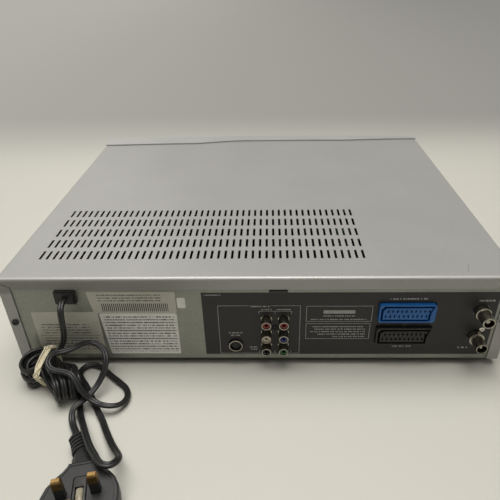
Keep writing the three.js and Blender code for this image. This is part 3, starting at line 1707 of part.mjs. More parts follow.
// How far out of the inner ring, and how many layers down, the lead is at a turn of the hank.
function hankSpiral(turn) {
  const { layerTurns, layers, ringPitch, climbTurns } = hank;
  const outAndIn = Math.abs(1 - ((turn / layerTurns) % 2));
  const ring = turn > layers * layerTurns ? layerTurns * ringPitch : outAndIn * layerTurns * ringPitch;
  let layer = 0;
  for (let climb = 1; climb < layers; climb++) {
    const middle = climb * layerTurns;
    layer += THREE.MathUtils.smoothstep(turn, middle - climbTurns / 2, middle + climbTurns / 2);
  }
  return { ring, layer };
}

// The hank's bent middle line on the floor: its place, relative to the rear face, and its direction.
function hankSpine(along) {
  const { rightHalf, leftHalf, waistAcross, waistBeyond } = hank;
  const from = radians(hank.rightHeading);
  const bend = (radians(hank.leftHeading) - from) / (rightHalf + leftHalf);
  const start = from + bend * rightHalf;
  const inside = THREE.MathUtils.clamp(along, -rightHalf, leftHalf);
  const heading = start + bend * inside;
  const ahead = new THREE.Vector2(Math.cos(heading), Math.sin(heading));
  const at = new THREE.Vector2(
    cordBush.x + waistAcross + (Math.sin(heading) - Math.sin(start)) / bend,
    waistBeyond - (Math.cos(heading) - Math.cos(start)) / bend,
  ).addScaledVector(ahead, along - inside);
  return { at, ahead };
}

function hankTwist(along) {
  const share = THREE.MathUtils.smoothstep(along, -hank.rightHalf, hank.leftHalf);
  return radians(THREE.MathUtils.lerp(hank.rightTwist, hank.leftTwist, share));
}

// The height of the hank's middle line, so that its lowest turns lie on the floor.
function hankRise(along) {
  const { layerTurns, ringPitch, layers, layerPitch } = hank;
  const { leftHalf, rightHalf, waistLift, waistReach, floorGap } = hank;
  const outer = hank.fold + layerTurns * ringPitch;
  const end = along > 0 ? outer * hank.leftGrowth : outer * hank.rightGrowth;
  const waist = hank.waistHalf + layerTurns * ringPitch;
  const swell = THREE.MathUtils.smoothstep(Math.abs(along), 0, along > 0 ? leftHalf : rightHalf);
  const halfAcross = THREE.MathUtils.lerp(waist, end, swell) + lead.halfThin;
  const halfStack = ((layers - 1) / 2) * layerPitch + lead.halfWide;
  const twist = hankTwist(along);
  const lift = waistLift * (1 - THREE.MathUtils.smoothstep(Math.abs(along), 0, waistReach));
  return floorGap + lift + halfAcross * Math.sin(twist) + halfStack * Math.cos(twist);
}

// A place in the hank: along its middle line, across in the plane of a loop, and up its layers.
function hankPlace(along, across, stack) {
  const { at, ahead } = hankSpine(along);
  const twist = hankTwist(along);
  const shift = stack * Math.sin(twist) - across * Math.cos(twist);
  const aside = shift + hank.leftShift * THREE.MathUtils.smoothstep(along, 0, hank.leftHalf);
  return new THREE.Vector3(
    at.x - ahead.y * aside,
    rearY + at.y + ahead.x * aside,
    hankRise(along) + across * Math.sin(twist) + stack * Math.cos(twist),
  );
}

function hankLengths() {
  const run = hank.rightHalf + hank.leftHalf;
  const fold = Math.PI * (hank.fold + hank.ringPitch);
  return { run, fold, turn: 2 * (run + fold) };
}

// Where the lead lies at a turn of the hank: two runs and two folds a turn.
function hankAt(turn) {
  const { rightHalf, leftHalf, startAlong, layers, layerPitch, waistHalf } = hank;
  const { run, fold, turn: whole } = hankLengths();
  const { ring, layer } = hankSpiral(turn);
  const left = (hank.fold + ring) * hank.leftGrowth;
  const right = (hank.fold + ring) * hank.rightGrowth;
  const waist = waistHalf + ring;
  const widthAt = (along) =>
    along > 0
      ? THREE.MathUtils.lerp(waist, left, THREE.MathUtils.smoothstep(along, 0, leftHalf))
      : THREE.MathUtils.lerp(waist, right, THREE.MathUtils.smoothstep(-along, 0, rightHalf));
  const gone = (turn % 1) * whole;
  const firstRun = leftHalf - startAlong;
  let along;
  let across;
  if (gone < firstRun) {
    along = startAlong + gone;
    across = widthAt(along);
  } else if (gone < firstRun + fold) {
    const angle = (Math.PI * (gone - firstRun)) / fold;
    along = leftHalf + left * Math.sin(angle);
    across = left * Math.cos(angle);
  } else if (gone < firstRun + fold + run) {
    along = leftHalf - (gone - firstRun - fold);
    across = -widthAt(along);
  } else if (gone < firstRun + 2 * fold + run) {
    const angle = (Math.PI * (gone - firstRun - fold - run)) / fold;
    along = -rightHalf - right * Math.sin(angle);
    across = -right * Math.cos(angle);
  } else {
    along = gone - firstRun - 2 * fold - run - rightHalf;
    across = widthAt(along);
  }
  const place = hankPlace(along, across, ((layers - 1) / 2 - layer) * layerPitch);
  const up = hankPlace(along, across, ((layers - 1) / 2 - layer) * layerPitch + 1).sub(place);
  return { place, up };
}

function hankRings() {
  const { run, fold, turn: whole } = hankLengths();
  const lastTurn = hank.layers + (hank.leftHalf - hank.startAlong + fold + run) / whole;
  const steps = Math.floor(lastTurn * hank.turnSteps);
  const stops = Array.from({ length: steps + 1 }, (_, k) => hankAt(k / hank.turnSteps));
  const corners = [[lead.halfWide, 0], [hank.corner, lead.halfThin], [-hank.corner, lead.halfThin]];
  corners.push(...corners.map(([wide, thin]) => [-wide, -thin]));
  const rings = stops.map(({ place, up }, k) => {
    const before = stops[Math.max(k - 1, 0)].place;
    const after = stops[Math.min(k + 1, steps)].place;
    const ahead = after.clone().sub(before).normalize();
    const thin = ahead.clone().cross(up).normalize();
    const wide = thin.clone().cross(ahead);
    return corners.map(([w, t]) => place.clone().addScaledVector(wide, w).addScaledVector(thin, t));
  });
  const start = { at: stops[0].place, ahead: stops[1].place.clone().sub(stops[0].place).normalize() };
  const last = stops[steps].place;
  const end = { at: last, ahead: last.clone().sub(stops[steps - 1].place).normalize() };
  return { rings, start, end };
}

// The least distance between the skins of two different turns, measured between points of their rings.
function hankGap(rings) {
  const middles = rings.map((ring) => ring.flatMap((point, i) => {
    return [point, point.clone().lerp(ring[(i + 1) % ring.length], 0.5)];
  }));
  let least = Infinity;
  for (let i = 0; i < middles.length; i++) {
    for (let j = i + hank.turnSteps / 2; j < middles.length; j++) {
      for (const one of middles[i]) {
        for (const other of middles[j]) least = Math.min(least, one.distanceTo(other));
      }
    }
  }
  return least;
}

function routePoint([across, beyond, z]) {
  return new THREE.Vector3(cordBush.x + across, rearY + beyond, z);
}

function flatSection() {
  const { halfWide, halfThin, shoulder, groove } = lead;
  return polygon([
    [0, halfWide],
    [-halfThin, shoulder],
    [-groove, 0],
    [-halfThin, -shoulder],
    [0, -halfWide],
    [halfThin, -shoulder],
    [groove, 0],
    [halfThin, shoulder],
  ]);
}

function leadAlong(points, steps) {
  const path = new THREE.CatmullRomCurve3(points, false, "centripetal");
  return solidOf(new THREE.ExtrudeGeometry(flatSection(), { extrudePath: path, steps }));
}

// The two points of a route that lead straight away from a face, a small gap off it.
function stub(at, ahead) {
  return [lead.joint, lead.joint + lead.straight].map((far) => at.clone().addScaledVector(ahead, far));
}

function makeDrop(start) {
  const [last, before] = stub(start.at, start.ahead.clone().negate());
  return leadAlong([...dropRoute.map(routePoint), before, last], lead.dropSteps);
}

function makeTail(end) {
  const tip = reliefRoute[reliefRoute.length - 1];
  const root = reliefRoute[reliefRoute.length - 2];
  const tipAt = plugToRow(new THREE.Vector3(tip[0], tip[1], tip[2]));
  const ahead = tipAt.clone().sub(plugToRow(new THREE.Vector3(root[0], root[1], root[2]))).normalize();
  const [last, before] = stub(tipAt, ahead);
  return leadAlong([...stub(end.at, end.ahead), ...tailRoute.map(routePoint), before, last], lead.tailSteps);
}

// A twisted rubber band drawn tight round the hank's waist and the start of the drop.
function makeBand(rings, drop) {
  const { at, ahead } = hankSpine(0);
  const origin = new THREE.Vector3(at.x, rearY + at.y, 0);
  const forward = new THREE.Vector3(ahead.x, ahead.y, 0);
  const aside = new THREE.Vector3(-ahead.y, ahead.x, 0);
  const flat = [];
  const take = (point) => {
    const away = point.clone().sub(origin);
    if (Math.abs(away.dot(forward)) < band.reach) flat.push([away.dot(aside), away.z]);
  };
  for (let k = 0; k + 1 < rings.length; k++) {
    rings[k].forEach((point, i) => {
      for (const share of [0, 0.25, 0.5, 0.75]) take(point.clone().lerp(rings[k + 1][i], share));
    });
  }
  const dropPoints = drop.getMesh();
  for (let k = 0; k < dropPoints.numVert; k++) {
    take(new THREE.Vector3().fromArray(dropPoints.vertProperties, k * dropPoints.numProp));
  }
  const turn = (2 * Math.PI) / band.steps;
  const reachAt = (k) => {
    const angle = k * turn;
    const reach = Math.max(...flat.map(([s, z]) => s * Math.cos(angle) + z * Math.sin(angle)));
    return reach + band.clear + band.halfLong;
  };
  const path = Array.from({ length: band.steps }, (_, k) => {
    const [one, two] = [reachAt(k), reachAt(k + 1)];
    const [first, second] = [k * turn, (k + 1) * turn];
    const s = (one * Math.sin(second) - two * Math.sin(first)) / Math.sin(turn);
    const z = (two * Math.cos(first) - one * Math.cos(second)) / Math.sin(turn);
    return origin.clone().addScaledVector(aside, s).add(new THREE.Vector3(0, 0, z));
  });
  const bandRings = path.map((place, k) => {
    const before = path[(k + band.steps - 1) % band.steps];
    const along = path[(k + 1) % band.steps].clone().sub(before).normalize();
    const outward = along.clone().cross(forward).normalize();
    const roll = (2 * Math.PI * band.twists * k) / band.steps;
    return Array.from({ length: band.sides }, (_, i) => {
      const angle = (2 * Math.PI * i) / band.sides;
      const u = band.halfLong * Math.cos(angle);
      const v = band.halfShort * Math.sin(angle);
      return place
        .clone()
        .addScaledVector(forward, u * Math.cos(roll) - v * Math.sin(roll))
        .addScaledVector(outward, u * Math.sin(roll) + v * Math.cos(roll));
    });
  });
  return skin(bandRings, true);
}

// The plug is drawn with its pins' line along X and its lead towards -Y,
// and then turned and moved to its place.
function plugToRow(point) {
  const facing = point.applyAxisAngle(new THREE.Vector3(0, 0, 1), radians(plug.yaw));
  return facing.add(new THREE.Vector3(plugX, rearY + plug.beyond, 0));
}

function seatPlug(solid) {
  return solid.rotate([0, 0, plug.yaw]).translate([plugX, rearY + plug.beyond, 0]);
}

function plugRing(inset, z) {
  const scale = 1 - inset / (plugOutline[plugOutline.length - 1][1] - plug.middleY);
  const half = plugOutline.map(([x, y]) => [x * scale, plug.middleY + (y - plug.middleY) * scale]);
  const other = half.map(([x, y]) => [-x, y]).reverse();
  return [...half, ...other].map(([x, y]) => new THREE.Vector3(x, y, z));
}

function plugRim(inset) {
  return polygon(plugRing(inset, 0).map((point) => [point.x, point.y]));
}

function reliefScales() {
  const { ribs, ribsFromShare, ribShare, waistShare, plainRings } = relief;
  const plain = Array.from({ length: plainRings }, (_, k) => [(ribsFromShare * k) / plainRings, 1]);
  const pitch = (1 - ribsFromShare) / ribs;
  const ribbed = Array.from({ length: ribs }, (_, k) => {
    const from = ribsFromShare + k * pitch;
    const to = k + 1 < ribs ? from + pitch : 1;
    return [
      [from, waistShare],
      [to - ribShare, waistShare],
      [to - ribShare, 1],
      [to, 1],
    ];
  }).flat();
  return [...plain, ...ribbed];
}

function makeRelief() {
  const path = new THREE.CatmullRomCurve3(reliefRoute.map(([x, y, z]) => new THREE.Vector3(x, y, z)));
  const sizes = new THREE.CatmullRomCurve3(reliefRoute.map((row) => new THREE.Vector3(row[3], row[4], 0)));
  const rings = reliefScales().map(([share, scale]) => {
    const place = path.getPoint(share);
    const size = sizes.getPoint(share);
    const ahead = path.getTangent(share);
    const side = new THREE.Vector3(0, 0, 1).cross(ahead).normalize();
    const up = ahead.clone().cross(side);
    return Array.from({ length: relief.sides }, (_, i) => {
      const angle = (2 * Math.PI * (i + 0.5)) / relief.sides;
      return place
        .clone()
        .addScaledVector(side, size.x * scale * Math.cos(angle))
        .addScaledVector(up, size.y * scale * Math.sin(angle));
    });
  });
  return skin(rings);
}

const pinPlaces = {
  line_pin: [plug.pinApart / 2, 0, plug.pinHalfWide, plug.pinHalfThick, plug.pinLong],
  neutral_pin: [-plug.pinApart / 2, 0, plug.pinHalfWide, plug.pinHalfThick, plug.pinLong],
  earth_pin: [0, plug.pinApart, plug.pinHalfThick, plug.earthHalfLong, plug.earthLong],
};

function makePlugBody() {
  const { faceZ, fuseHalfX, fuseHalfY, fuseDeep, fuseCorner, rimInset, rimWidth, rimDeep, pinSunk } = plug;
  const body = join([skin(plugLevels.map(([z, inset]) => plugRing(inset, z))), makeRelief()]);
  const cuts = Object.values(pinPlaces).map(([x, y, halfX, halfY]) =>
    box(x - halfX - gap, x + halfX + gap, y - halfY - gap, y + halfY + gap, faceZ - pinSunk - gap, faceZ + overrun),
  );
  const pocket = roundedShape(-fuseHalfX - gap, fuseHalfX + gap, -fuseHalfY - gap, fuseHalfY + gap, fuseCorner + gap);
  cuts.push(raised(pocket, faceZ - fuseDeep - gap, faceZ + overrun, 2));
  const rim = raised(plugRim(rimInset), faceZ - rimDeep, faceZ + overrun);
  cuts.push(rim.subtract(raised(plugRim(rimInset + rimWidth), faceZ - overrun, faceZ + 2 * overrun)));
  return seatPlug(cuts.reduce((left, cut) => left.subtract(cut), body));
}

function makePin([x, y, halfX, halfY, long]) {
  const tip = plug.faceZ + long;
  const level = (inset, z) => [[-1, -1], [1, -1], [1, 1], [-1, 1]].map(
    ([sideX, sideY]) => new THREE.Vector3(x + sideX * (halfX - inset), y + sideY * (halfY - inset), z),
  );
  const rows = [
    level(0, plug.faceZ - plug.pinSunk), level(0, tip - 2 * plug.pinPoint), level(plug.pinPoint, tip),
  ];
  return seatPlug(skin(rows));
}

function makeFuseCover() {
  const { faceZ, fuseHalfX, fuseHalfY, fuseDeep, fuseProud, fuseCorner } = plug;
  const shape = roundedShape(-fuseHalfX, fuseHalfX, -fuseHalfY, fuseHalfY, fuseCorner);
  return seatPlug(raised(shape, faceZ - fuseDeep, faceZ + fuseProud, 2));
}

add("top_cover", makeCover(), looks.silver);
add("base_pan", makeBasePan(), looks.galvanised);
add("rear_panel", makeRearPanel(), looks.galvanised);
add("front_panel", makeFrontPanel(), looks.frontPlastic);
add("display_window", makeDisplayWindow(), looks.darkWindow);
add("cassette_door", makeCassetteDoor(), looks.frontPlastic);
for (const [sideName, side] of [["left", -1], ["right", 1]]) {
  add(`foot_front_${sideName}`, makeFoot(side, foot.frontY), looks.rubber);
  add(`foot_rear_${sideName}`, makeFoot(side, foot.rearY), looks.rubber);
  add(`cover_screw_${sideName}`, coverScrew(side), looks.screwSteel);
}
add("front_board", makeFrontBoard(), looks.board);
for (const [name, place] of Object.entries(buttonPlaces)) add(name, makeButton(place), looks.frontPlastic);

add("cord_bush", makeCordBush(), looks.blackPlastic);
add("s_video_socket", makeSVideo(), looks.blackPlastic);
add("jack_block", makeJackBlock(), looks.blackPlastic);
add("jack_barrels", makeJackBarrels(), looks.nickel);
const insulatorLooks = {
  jack_red: [0, 0, looks.red],
  jack_white: [0, 1, looks.white],
  jack_black: [0, 2, looks.blackPlastic],
  jack_red_right: [1, 0, looks.red],
  jack_blue: [1, 1, looks.jackBlue],
  jack_green: [1, 2, looks.green],
};
for (const [name, [column, row, look]] of Object.entries(insulatorLooks)) {
  add(name, makeInsulator(jack.columnX[column], jack.rowZ[row]), look);
}
const scartSplitZ = (scart.lowerZ + scart.upperZ) / 2;
const scartTopZ = scart.upperZ + scart.halfHigh + scart.wall;
add("scart_lower", makeScart(scart.lowerZ, mainBoard.topZ + gap, scartSplitZ - gap / 2), looks.blackPlastic);
add("scart_upper", makeScart(scart.upperZ, scartSplitZ + gap / 2, scartTopZ), looks.blue);
add("tuner_module", makeTuner(), looks.steel);
add("aerial_input", makeAerial(aerial.inputZ, aerialPlug.barrel, aerialPlug.socket), looks.nickel);
add("aerial_output", makeAerial(aerial.outputZ, aerialPlug.outBarrel, aerialPlug.pin), looks.nickel);

add("main_board", makeBoard(mainBoard, boardChips), looks.greenBoard);
add("power_board", makePowerBoard(), looks.board);
add("power_transformer", makeTransformer(), looks.greyPlastic);

add("deck_chassis", makeDeckChassis(), looks.steel);
add("head_drum", makeHeadDrum(), looks.aluminium);
add("supply_reel", makeReel(-1), looks.blackPlastic);
add("takeup_reel", makeReel(1), looks.blackPlastic);
add("capstan", makeCapstan(), looks.steel);
add("pinch_roller", makePinchRoller(), looks.rubber);
add("cassette_carriage", makeCarriage(), looks.steel);

add("loader_frame", makeLoaderFrame(), looks.blackPlastic);
add("disc_tray", makeTray(), looks.greyPlastic);
add("tray_front", makeTrayFront(), looks.frontPlastic);
add("tray_gear", makePinion(), looks.whitePlastic);
add("traverse_frame", makeTraverse(), looks.steel);
add("turntable", makeTurntable(), looks.blackPlastic);
add("pickup_sled", makeSled(), looks.greyPlastic);
add("disc_clamp", makeClamp(), looks.whitePlastic);

const wound = hankRings();
const drop = makeDrop(wound.start);
console.log(`hank: least gap to itself ${hankGap(wound.rings).toFixed(2)} mm`);
add("mains_lead_drop", drop, looks.blackPlastic);
add("mains_lead_hank", skin(wound.rings), looks.blackPlastic);
add("mains_lead_tail", makeTail(wound.end), looks.blackPlastic);
add("lead_band", makeBand(wound.rings, drop), looks.band);
add("plug_body", makePlugBody(), looks.greyPlastic);
for (const [name, place] of Object.entries(pinPlaces)) add(name, makePin(place), looks.brass);
add("fuse_cover", makeFuseCover(), looks.greyPlastic);

const buttonFaces = Object.values(buttonPlaces).map((place) => bowY(place.x) - button.proud);
const frontReach = Math.min(frontMidY, ...buttonFaces);
const rearReach = panelOutY + aerial.reach;
player.position.y = -(frontReach + rearReach) / 2;

export default player;
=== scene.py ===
"""A disc and video cassette player seen from behind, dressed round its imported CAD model."""

import json
import math
import random

import bpy
import numpy as np
from mathutils import Matrix, Vector


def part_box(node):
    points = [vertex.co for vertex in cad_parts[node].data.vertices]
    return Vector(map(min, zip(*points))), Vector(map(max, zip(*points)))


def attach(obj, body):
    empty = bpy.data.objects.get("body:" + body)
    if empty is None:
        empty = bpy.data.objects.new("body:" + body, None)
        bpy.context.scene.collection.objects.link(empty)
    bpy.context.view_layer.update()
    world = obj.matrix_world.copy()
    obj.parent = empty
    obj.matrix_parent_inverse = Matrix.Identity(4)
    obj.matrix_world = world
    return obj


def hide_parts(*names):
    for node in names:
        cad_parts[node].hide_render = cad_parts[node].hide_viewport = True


bl_info = {
    "name": "Disc and Cassette Player",
    "version": (1, 0, 0),
    "blender": (4, 5, 0),
    "location": "View3D > Sidebar > Player",
    "description": "Dresses the player's CAD model with its lead, labels, prints and finishes",
    "category": "Add Mesh",
}

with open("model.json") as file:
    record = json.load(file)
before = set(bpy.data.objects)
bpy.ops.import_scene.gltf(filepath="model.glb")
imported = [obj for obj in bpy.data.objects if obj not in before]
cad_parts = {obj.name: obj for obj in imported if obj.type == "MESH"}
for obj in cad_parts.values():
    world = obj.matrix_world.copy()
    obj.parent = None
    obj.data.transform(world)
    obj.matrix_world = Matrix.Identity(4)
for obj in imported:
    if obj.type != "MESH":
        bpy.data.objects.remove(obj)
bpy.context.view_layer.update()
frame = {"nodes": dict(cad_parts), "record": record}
MM = 0.001
REAR_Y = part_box("top_cover")[1].y
PANEL_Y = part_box("rear_panel")[1].y


def hexed(text):
    """An sRGB colour written as six hex digits, as the linear colour that Blender keeps."""
    parts = [int(text[i:i + 2], 16) / 255 for i in (1, 3, 5)]
    return tuple(p / 12.92 if p <= 0.04045 else ((p + 0.055) / 1.055) ** 2.4 for p in parts)


# Sizes and colours that a user would change.


class LeadSizes(bpy.types.PropertyGroup):
    """The flat two-core mains lead and its rubber band."""

    half_wide: bpy.props.FloatProperty(
        name="Half width", description="Half of the flat lead's width", default=2.6 * MM, subtype="DISTANCE")
    half_thin: bpy.props.FloatProperty(
        name="Half thickness", description="Radius of each core's sheath", default=1.6 * MM,
        subtype="DISTANCE")
    groove: bpy.props.FloatProperty(
        name="Groove", description="Half thickness left between the cores", default=1.12 * MM,
        subtype="DISTANCE")
    step: bpy.props.FloatProperty(
        name="Ring step", description="Distance between the rings of the lead's mesh", default=1.6 * MM,
        subtype="DISTANCE")
    strand: bpy.props.FloatProperty(
        name="Band strand", description="Radius of the rubber band's strands", default=0.56 * MM,
        subtype="DISTANCE")


class LabelSizes(bpy.types.PropertyGroup):
    """Paper labels and the white lines printed on the rear panel."""

    thick: bpy.props.FloatProperty(
        name="Label thickness", description="Thickness of the paper labels", default=0.14 * MM,
        subtype="DISTANCE")
    ink: bpy.props.FloatProperty(
        name="Ink thickness", description="Height of the printed lines", default=0.05 * MM,
        subtype="DISTANCE")
    line: bpy.props.FloatProperty(
        name="Line width", description="Width of the printed frames' lines", default=0.45 * MM,
        subtype="DISTANCE")


class StageSizes(bpy.types.PropertyGroup):
    """Floor, lamps and camera."""

    floor: bpy.props.FloatVectorProperty(
        name="Floor", description="Colour of the floor near the player", default=hexed("#CECCC2"),
        subtype="COLOR")
    far: bpy.props.FloatVectorProperty(
        name="Backdrop", description="Lightest colour that the floor fades to far behind",
        default=hexed("#B2B0A8"), subtype="COLOR")
    # The backdrop's darker side is painted shade, where the light falls off towards -X.
    shade: bpy.props.FloatVectorProperty(
        name="Backdrop shade", description="Darkest colour of the backdrop, on the photograph's right",
        default=hexed("#8F8D87"), subtype="COLOR")
    key: bpy.props.FloatProperty(
        name="Key lamp", description="Power of the lamp overhead", default=33.0, unit="POWER")
    fill: bpy.props.FloatProperty(
        name="Fill lamp", description="Power of the lamp above the camera", default=3.6, unit="POWER")
    front: bpy.props.FloatProperty(
        name="Front lamp", description="Power of the lamp before the player's front", default=4.0,
        unit="POWER")
    sky: bpy.props.FloatProperty(
        name="Sky", description="Strength of the light from all round", default=0.08)
    lens: bpy.props.FloatProperty(
        name="Lens", description="Focal length", default=35.11, unit="CAMERA")


# Material nodes.


def add(tree, kind, links=None, **settings):
    """Adds a node with its settings; links gives its inputs a value or another node's output."""
    made = tree.nodes.new(kind)
    for name, value in settings.items():
        setattr(made, name, value)
    for key, value in (links or {}).items():
        if isinstance(value, bpy.types.NodeSocket):
            tree.links.new(value, made.inputs[key])
        else:
            made.inputs[key].default_value = value
    return made


def rgba(colour):
    """A hex colour as a node's colour socket takes it."""
    return (*hexed(colour), 1.0)


def blank(name):
    """An empty material with a shader and the object's coordinates in millimetres."""
    material = bpy.data.materials.new(name)
    material.use_nodes = True
    tree = material.node_tree
    tree.nodes.clear()
    shader = add(tree, "ShaderNodeBsdfPrincipled")
    add(tree, "ShaderNodeOutputMaterial", {"Surface": shader.outputs[0]})
    place = add(tree, "ShaderNodeTexCoord")
    return material, tree, shader, place.outputs["Object"]


def blotched(name, base, other, blotch, grain, rough, bump, metallic=0.0, stretch=None, coat=0.0, sheen=0.0):
    """A finish of two close colours in blotches, with a fine grain in its relief and its roughness.

    blotch and grain are sizes in millimetres, rough is the least and the most roughness, and bump is the
    relief's height in millimetres. stretch packs the grain along its axes with more than 1, and so draws it
    out along the others, as brushing or rolling does.
    """
    material, tree, shader, place = blank(name)
    broad = add(tree, "ShaderNodeTexNoise", {"Vector": place, "Scale": 1 / (blotch * MM), "Detail": 3.0})
    grain_place = place
    if stretch:
        grain_place = add(tree, "ShaderNodeMapping", {"Vector": place, "Scale": stretch}).outputs[0]
    fine = add(tree, "ShaderNodeTexNoise", {
        "Vector": grain_place, "Scale": 1 / (grain * MM), "Detail": 4.0})
    mixed = add(tree, "ShaderNodeMath", {0: broad.outputs[0], 1: fine.outputs[0]}, operation="MULTIPLY")
    share = add(tree, "ShaderNodeMapRange", {"Value": mixed.outputs[0], "From Min": 0.16, "From Max": 0.36})
    colour = add(tree, "ShaderNodeMix", {
        0: share.outputs[0], 6: rgba(base), 7: rgba(other)}, data_type="RGBA")
    gloss = add(tree, "ShaderNodeMapRange", {
        "Value": fine.outputs[0], "To Min": rough[0], "To Max": rough[1]})
    relief = add(tree, "ShaderNodeBump", {
        "Height": fine.outputs[0], "Distance": bump * MM, "Strength": 1.0})
    tree.links.new(colour.outputs[2], shader.inputs["Base Color"])
    tree.links.new(gloss.outputs[0], shader.inputs["Roughness"])
    tree.links.new(relief.outputs[0], shader.inputs["Normal"])
    shader.inputs["Metallic"].default_value = metallic
    shader.inputs["Coat Weight"].default_value = coat
    shader.inputs["Sheen Weight"].default_value = sheen
    return material, tree, shader, place


def within(tree, place, low, high, soft=0.12):
    """1 inside a box of the object's coordinates given in millimetres, and 0 outside it.

    soft is the width of the fade inside the box's faces, and an axis whose low end is None isn't limited.
    """
    split = add(tree, "ShaderNodeSeparateXYZ", {0: place})
    found = None
    for axis in range(3):
        if low[axis] is None:
            continue
        half = (high[axis] - low[axis]) / 2 * MM
        offset = add(tree, "ShaderNodeMath", {
            0: split.outputs[axis], 1: (low[axis] + high[axis]) / 2 * MM}, operation="SUBTRACT")
        away = add(tree, "ShaderNodeMath", {0: offset.outputs[0]}, operation="ABSOLUTE")
        inside = add(tree, "ShaderNodeMapRange", {
            "Value": away.outputs[0], "From Min": half - soft * MM, "From Max": half,
            "To Min": 1.0, "To Max": 0.0}).outputs[0]
        if found is None:
            found = inside
        else:
            found = add(tree, "ShaderNodeMath", {0: found, 1: inside}, operation="MULTIPLY").outputs[0]
    return found


def over(tree, socket, shares, value):
    """Lays a colour or a number over what a shader's socket already takes, by the product of its shares."""
    share, *others = shares
    for other in others:
        share = add(tree, "ShaderNodeMath", {0: share, 1: other}, operation="MULTIPLY").outputs[0]
    link = socket.links[0] if socket.links else None
    if isinstance(value, str):
        under = link.from_socket if link else tuple(socket.default_value)
        made = add(tree, "ShaderNodeMix", {0: share, 6: under, 7: rgba(value)}, data_type="RGBA").outputs[2]
    else:
        under = link.from_socket if link else socket.default_value
        made = add(tree, "ShaderNodeMix", {0: share, 2: under, 3: value}, data_type="FLOAT").outputs[0]
    tree.links.new(made, socket)


